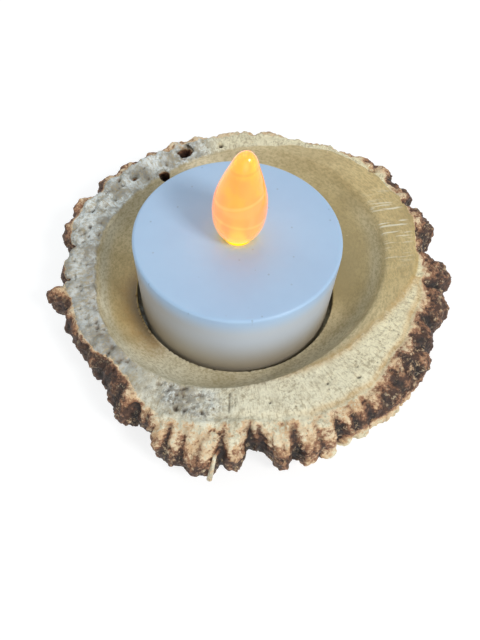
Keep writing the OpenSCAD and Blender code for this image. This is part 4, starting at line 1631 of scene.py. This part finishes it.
        carved = Skin.read(mesh)
        wide = carved.relief(mesh, self.relief_wide)
        close = carved.relief(mesh, self.relief_close)
        crest = smooth_step(0.05, 0.5, wide)
        # Painted shade in hollows, from how far each point lies below its smoothed surroundings.
        hollow = smooth_step(0.08, 0.6, -wide) + 0.4 * smooth_step(0.04, 0.3, -close)
        angle, past_polish, from_seat = skin.angle, zones.past_polish, skin.radius - self.seat_r
        # Painted shade on the grey rim just outside the lip, on the left, added to the hollows' shade.
        lip_shade = band(past_polish, *self.lip_shade_ring) * smooth_step(*self.lip_shade_from, angle)
        lip_shade *= zones.ledge * zones.grey
        lip = band(past_polish, *self.honey_lip_ring) * smooth_step(*self.honey_lip_from, angle)
        seam = band(zones.past_pearl, *self.honey_seam_ring) * (zones.drop < self.top_depth) * zones.free
        seam *= smooth_step(*self.honey_seam_from, angle)
        # Painted shadow of the tea light on the bowl, left of the seat: an orange-brown spread and a dark
        # line along the seat's edge.
        shady = smooth_step(*self.shadow_from, angle) * smooth_step(*self.shadow_to, angle) * zones.polish
        stain = band(from_seat, *self.shadow_ring) * shady
        shadow_line = 0.72 * band(from_seat, *self.shadow_line_ring) * shady
        return self.bowl_marks(skin, zones) | {
            "grey": zones.grey,
            "pitted": zones.patch * zones.ledge,
            "hollow": np.clip(hollow + 0.5 * lip_shade, 0.0, 1.0) * zones.free,
            # Hollows and the grooves beside the clefts keep more skin and darken as painted shade; crests
            # wear the skin off.
            "skin": self.kept_skin(skin, zones, 0.7 * hollow + 0.6 * groove - 0.3 * crest),
            "honey_and_shadow": np.clip(0.8 * lip + 0.9 * seam + 1.4 * stain, 0.0, 1.0),
            # Painted shade in clefts, holes and cracks, and the tea light's painted shadow line beside the
            # seat.
            "recess_shade": np.maximum(np.maximum(cleft_shade, hole_shade), shadow_line),
        }

    def add_sliver(self, piece: bpy.types.Object) -> None:
        """Joins a loose sliver of bone that stands off the wall at the front.

        Args:
            piece: The carved burr.
        """
        low, high = (
            Vector((far * math.cos(math.radians(at)), far * math.sin(math.radians(at)), z)) * MM
            for at, far, z in self.sliver_ends)
        along = high - low
        deselect()
        bpy.ops.mesh.primitive_cone_add(
            vertices=self.sliver_sides, radius1=self.sliver_r * MM,
            radius2=self.sliver_taper * self.sliver_r * MM, depth=along.length,
            location=(low + high) / 2.0, rotation=along.to_track_quat("Z", "Y").to_euler())
        sliver = bpy.context.object
        activate(piece)
        sliver.select_set(True)
        bpy.ops.object.join()

    @staticmethod
    def is_flat(face: bmesh.types.BMFace, level: float) -> bool:
        """Whether a face lies flat at a height."""
        return abs(face.calc_center_median().z - level * MM) < 0.05 * MM and abs(face.normal.z) > 0.99

    def build(self, finish: bpy.types.Material) -> bpy.types.Object:
        """Models and dresses the burr.

        Args:
            finish: The bone material.

        Returns:
            The burr.
        """
        piece = self.solid_copy()
        for name, values in self.carve(piece).items():
            mark = piece.data.attributes.new(name, "FLOAT", "POINT")
            mark.data.foreach_set("value", values.astype(np.float32))
        self.add_sliver(piece)
        activate(piece)
        bpy.ops.object.shade_smooth()
        for level in (0.0, FLOOR_Z):
            with editing(piece):
                pick(piece, Pick.FACES, lambda face: self.is_flat(face, level))
                bpy.ops.mesh.dissolve_faces()
                bpy.ops.mesh.faces_shade_flat()
        return settle(piece, finish, Body.HOLDER, Slot.BONE, "antler_burr")


@dataclass
class TeaLight:
    """The tea light's shell and flame. Sizes are in millimetres, heights above the seat's floor."""

    top_r: float = 19.0
    foot_r: float = 18.5
    height: float = 20.0
    edge_round: float = 0.6
    open_r: float = 17.7
    bore_r: float = 17.2
    ceiling: float = 18.8
    ceiling_round: float = 0.3
    foot_round: float = 0.15
    wall_shares: Triple = (0.25, 0.5, 0.75)
    edge_steps: int = 7
    top_rows: tuple[float, ...] = (17.6, 15.0, 10.0, 6.0, 4.0)
    ceiling_row: float = 8.0
    ledge_z: float = 2.6
    snap_z: float = 4.12
    snap_half: float = 0.12
    snap_taper: float = 0.18
    snap_depth: float = 0.27
    shell_sides: int = 160
    shell_crease: float = 40.0
    hole_r: float = 2.6
    hole_flare: float = 0.15
    hole_chamfer: float = 0.12
    flame_h: float = 19.5
    flame_r: float = 4.85
    stem_r: float = 2.45
    flame_lean: float = 0.9
    flame_sides: int = 56
    flame_steps: int = 30
    flame_crease: float = 50.0
    flame_span: Pair = (0.03, 0.995)
    stem_flare: float = 0.15
    stem_start: float = 0.05
    stem_end: float = 0.12
    flange_r: float = 4.0
    flange_z: float = 17.8
    flange_h: float = 1.0
    flange_round: float = 0.1
    led_bore_r: float = 1.65
    cavity_z: float = 22.45
    cavity_top: float = 34.5
    cavity_tip_r: float = 1.25
    cavity_round: float = 0.2
    cavity_dome_r: float = 0.4
    cavity_dome_h: float = 0.05
    # Share of the flame's height, and its radius there as a share of the largest.
    flame_rows: Table = (
        (0.006, 0.53), (0.05, 0.66), (0.12, 0.84), (0.22, 0.96), (0.35, 1.0), (0.48, 0.96), (0.6, 0.84),
        (0.72, 0.68), (0.82, 0.53), (0.9, 0.42), (0.955, 0.31), (0.99, 0.16), (1.0, 0.05),
    )

    def build_shell(self, finish: bpy.types.Material) -> bpy.types.Object:
        """Models the white shell with its rounded top edge, ceiling, snap groove and inner ledge.

        Args:
            finish: The white plastic.

        Returns:
            The shell.
        """
        rings = [
            Ring(self.open_r, 0.0), Ring(self.foot_r - self.foot_round, 0.0),
            Ring(self.foot_r, self.foot_round),
        ]
        for share in self.wall_shares:
            rings.append(Ring(self.foot_r + (self.top_r - self.foot_r) * share, self.height * share))
        for step in range(self.edge_steps + 1):
            turn = math.radians(90.0 * step / self.edge_steps)
            rings.append(Ring(
                self.top_r - self.edge_round * (1.0 - math.cos(turn)),
                self.height - self.edge_round * (1.0 - math.sin(turn))))
        for radius in (*self.top_rows, self.hole_r + self.hole_flare):
            rings.append(Ring(radius, self.height))
        snap_r = self.bore_r + self.snap_depth
        snap_reach = self.snap_half + self.snap_taper
        rings += [
            Ring(self.hole_r, self.height - self.hole_chamfer), Ring(self.hole_r, self.ceiling),
            Ring(self.ceiling_row, self.ceiling), Ring(self.bore_r - self.ceiling_round, self.ceiling),
            Ring(self.bore_r, self.ceiling - self.ceiling_round),
            Ring(self.bore_r, self.snap_z + snap_reach),
            Ring(snap_r, self.snap_z + self.snap_half), Ring(snap_r, self.snap_z - self.snap_half),
            Ring(self.bore_r, self.snap_z - snap_reach), Ring(self.bore_r, self.ledge_z),
            Ring(self.open_r, self.ledge_z),
        ]
        piece = turned("shell", self.shell_sides, rings, closed=True)
        activate(piece)
        bpy.ops.object.shade_smooth_by_angle(angle=math.radians(self.shell_crease))
        return settle(piece, finish, Body.TEA_LIGHT, Slot.WHITE_PLASTIC, "candle_shell")

    def build_flame(self, finish: bpy.types.Material) -> bpy.types.Object:
        """Models the hollow flame with its stem and flange.

        Args:
            finish: The amber plastic.

        Returns:
            The flame.
        """
        flange_top = self.flange_z + self.flange_h
        rings = [
            Ring(self.cavity_dome_r, self.cavity_top + self.cavity_dome_h),
            Ring(self.cavity_tip_r - self.cavity_round, self.cavity_top),
            Ring(self.cavity_tip_r, self.cavity_top - self.cavity_round),
            Ring(self.led_bore_r, self.cavity_z),
            Ring(self.led_bore_r, self.flange_z), Ring(self.flange_r - self.flange_round, self.flange_z),
            Ring(self.flange_r, self.flange_z + self.flange_round),
            Ring(self.flange_r, flange_top - self.flange_round),
            Ring(self.flange_r - self.flange_round, flange_top), Ring(self.stem_r, flange_top),
            Ring(self.stem_r, self.height + self.stem_start),
            Ring(self.stem_r + self.stem_flare, self.height + self.stem_end),
        ]
        known, widths = np.array(self.flame_rows).T
        for share in np.linspace(*self.flame_span, self.flame_steps):
            wide = np.interp(share, known, widths)
            rings.append(Ring(
                self.flame_r * wide, self.height + self.flame_h * share, self.flame_lean * share**2))
        piece = turned("flame", self.flame_sides, rings, closed=False)
        apply_modifier(piece, "SUBSURF", levels=1, render_levels=1)
        activate(piece)
        bpy.ops.object.shade_smooth_by_angle(angle=math.radians(self.flame_crease))
        return settle(piece, finish, Body.TEA_LIGHT, Slot.FLAME_PLASTIC, "flame_bulb")


@dataclass
class InnerParts:
    """The solids that stay as they are and get their own finishes."""

    effects: Effects

    def finishes(self) -> dict[bpy.types.Material, tuple[str, ...]]:
        """Builds the materials.

        Returns:
            Each material with the solids that it dresses.
        """
        base = MouldedPlastic("base_white", rgb(0.80, 0.81, 0.80), rgb(0.72, 0.73, 0.72), 0.42, 0.3)
        cover = MouldedPlastic("cover_white", rgb(0.78, 0.79, 0.79), rgb(0.70, 0.71, 0.72), 0.36, 0.3)
        switch = MouldedPlastic("switch_black", rgb(0.035, 0.035, 0.037), rgb(0.02, 0.02, 0.022), 0.45)
        gasket = MouldedPlastic("gasket_grey", rgb(0.10, 0.10, 0.11), rgb(0.07, 0.07, 0.075), 0.5)
        steel = SheetMetal("rolled_steel", rgb(0.62, 0.62, 0.62), rgb(0.50, 0.50, 0.49), 0.28)
        tinned = SheetMetal("tinned_lead", rgb(0.64, 0.64, 0.62), rgb(0.50, 0.50, 0.48), 0.34)
        brass = SheetMetal("spring_brass", rgb(0.72, 0.55, 0.26), rgb(0.55, 0.38, 0.15), 0.30)
        lithium = SheetMetal("lithium_foil", rgb(0.52, 0.53, 0.55), rgb(0.36, 0.36, 0.38), 0.55)
        chip = PressedPowder("led_phosphor", rgb(0.80, 0.66, 0.14), rgb(0.66, 0.50, 0.08), 0.05)
        pellet = PressedPowder("pressed_pellet", rgb(0.02, 0.02, 0.02), rgb(0.008, 0.008, 0.008), 0.2)
        fleece = PressedPowder("separator_fleece", rgb(0.82, 0.80, 0.74), rgb(0.68, 0.66, 0.60), 0.35)
        return {
            LedResin().material(): ("led_lens",),
            base.material(self.effects): ("base_chassis",),
            cover.material(self.effects): ("battery_cover",),
            switch.material(self.effects): ("switch_slider",),
            gasket.material(self.effects): ("coin_cell_gasket",),
            steel.material(self.effects): ("coin_cell_can", "coin_cell_cap"),
            tinned.material(self.effects): ("led_anode_lead", "led_cathode_lead"),
            brass.material(self.effects): (
                "positive_contact", "negative_contact", "switch_contact", "switch_wiper"),
            lithium.material(self.effects): ("coin_cell_lithium",),
            chip.material(): ("led_chips",),
            pellet.material(): ("coin_cell_pellet",),
            fleece.material(): ("coin_cell_separator",),
        }

    def dress(self) -> list[bpy.types.Object]:
        """Gives each kept solid its material.

        Returns:
            The solids.
        """
        dressed = []
        for finish, nodes in self.finishes().items():
            for node in nodes:
                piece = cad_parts[node]
                for holder in piece.material_slots:
                    holder.material = finish
                dressed.append(piece)
        return dressed


@dataclass(frozen=True)
class Lamp:
    """A soft square lamp that faces the object: its place and edge in metres, and its power in watts."""

    name: str
    place: Triple
    size: float
    power: float
    tint: Triple

    def hang(self, target: Vector) -> None:
        """Adds the lamp to the scene, turned to a target."""
        data = bpy.data.lights.new(self.name, "AREA")
        data.size = self.size
        data.energy = self.power
        data.color = self.tint
        lamp = bpy.data.objects.new(self.name, data)
        lamp.location = self.place
        lamp.rotation_euler = (target - Vector(self.place)).to_track_quat("-Z", "Y").to_euler()
        bpy.context.scene.collection.objects.link(lamp)


@dataclass
class Studio:
    """Camera, lamps, floor and sky. Sizes are in metres, down and roll in degrees, the turns in radians."""

    eye: Triple = (0.0, -0.08302, 0.11984)
    down: float = 49.1
    roll: float = 2.6
    side_turn: float = 0.003
    up_turn: float = -0.122
    lens: float = 39.375
    sensor: float = 36.0
    nearest: float = 0.005
    lamps: tuple[Lamp, ...] = (
        Lamp("key", (0.52, -0.44, 0.66), 0.25, 4.0, (1.0, 0.98, 0.95)),
        Lamp("front", (0.1, -0.90, 0.30), 0.9, 2.4, (1.0, 0.96, 0.90)),
        Lamp("top", (-0.25, 0.40, 0.80), 0.9, 2.0, (0.84, 0.94, 1.0)),
    )
    lamp_target: Triple = (0.0, 0.0, 0.01)
    floor_size: float = 3.0
    floor_z: float = -0.0001
    floor_tint: Colour = rgb(0.86, 0.86, 0.86)
    floor_glow: float = 1.28
    floor_glow_share: float = 0.62
    sky_tint: Colour = rgb(0.90, 0.96, 1.0)
    sky_strength: float = 0.38

    def build(self) -> None:
        """Sets up everything that isn't part of the object."""
        bpy.context.scene.view_settings.view_transform = "Standard"
        self.add_camera()
        self.add_floor()
        self.add_sky()
        for lamp in self.lamps:
            lamp.hang(Vector(self.lamp_target))

    def add_camera(self) -> None:
        """Places the camera where the photo was taken from."""
        tilt, roll = math.radians(self.down), math.radians(self.roll)
        ahead = Vector((0.0, math.cos(tilt), -math.sin(tilt)))
        right = Vector((1.0, 0.0, 0.0))
        up = right.cross(ahead)
        right, up = (
            math.cos(roll) * right + math.sin(roll) * up,
            math.cos(roll) * up - math.sin(roll) * right,
        )
        turned_ahead = math.cos(self.side_turn) * ahead + math.sin(self.side_turn) * right
        look = math.cos(self.up_turn) * turned_ahead + math.sin(self.up_turn) * up
        right = math.cos(self.side_turn) * right - math.sin(self.side_turn) * ahead
        up = right.cross(look)
        data = bpy.data.cameras.new("camera")
        data.lens = self.lens
        data.sensor_width = self.sensor
        data.clip_start = self.nearest
        camera = bpy.data.objects.new("camera", data)
        turn = Matrix((right, up, -look)).transposed().to_4x4()
        camera.matrix_world = Matrix.Translation(self.eye) @ turn
        bpy.context.scene.collection.objects.link(camera)
        bpy.context.scene.camera = camera

    @staticmethod
    def seen(sheet: Sheet) -> Socket:
        """1 for rays that show the background, straight, mirrored or through glass."""
        path = sheet.add("LightPath")
        first = sheet.plus(path.outputs["Is Camera Ray"], path.outputs["Is Glossy Ray"], clamp=True)
        return sheet.plus(first, path.outputs["Is Transmission Ray"], clamp=True)

    def add_floor(self) -> None:
        """Lays a plain white floor that keeps the object's shadow."""
        deselect()
        bpy.ops.mesh.primitive_plane_add(size=self.floor_size, location=(0.0, 0.0, self.floor_z))
        floor = bpy.context.object
        floor.name = "floor"
        material, sheet = new_material("floor_white")
        matt = sheet.add("BsdfDiffuse")
        matt.inputs["Color"].default_value = self.floor_tint
        white = sheet.add("Emission")
        white.inputs["Strength"].default_value = self.floor_glow
        share = sheet.times(self.seen(sheet), self.floor_glow_share)
        sheet.backdrop("OutputMaterial", share, matt, white)
        floor.data.materials.append(material)

    def add_sky(self) -> None:
        """Sets an even pale sky, white where it is seen."""
        world = bpy.data.worlds.new("sky")
        world.use_nodes = True
        sheet = Sheet(world.node_tree)
        light = sheet.add("Background")
        light.inputs["Color"].default_value = self.sky_tint
        light.inputs["Strength"].default_value = self.sky_strength
        white = sheet.add("Background")
        white.inputs["Color"].default_value = rgb(1.0, 1.0, 1.0)
        sheet.backdrop("OutputWorld", self.seen(sheet), light, white)
        bpy.context.scene.world = world


def main() -> None:
    """Sets up the studio, builds and dresses every piece, and reports them."""
    logging.basicConfig(level=logging.INFO, format="%(relativeCreated)d %(name)s: %(message)s")
    effects = Effects()
    Studio().build()
    tea_light = TeaLight()
    # The shell's bluish colour is painted sky light; the plastic itself is white.
    white = ShellPlastic("shell_white", rgb(0.42, 0.60, 0.82), rgb(0.40, 0.57, 0.79), 0.38, 0.35)
    pieces = [
        AntlerBurr().build(BoneFinish().material()),
        tea_light.build_shell(white.material(effects)),
        tea_light.build_flame(FlamePlastic(FLOOR_Z + tea_light.height).material()),
        *InnerParts(effects).dress(),
    ]
    for piece in pieces:
        LOG.info("%s: %d points, %s", piece.name, len(piece.data.vertices), piece.active_material.name)
    deselect()


if __name__ == "__main__":
    main()
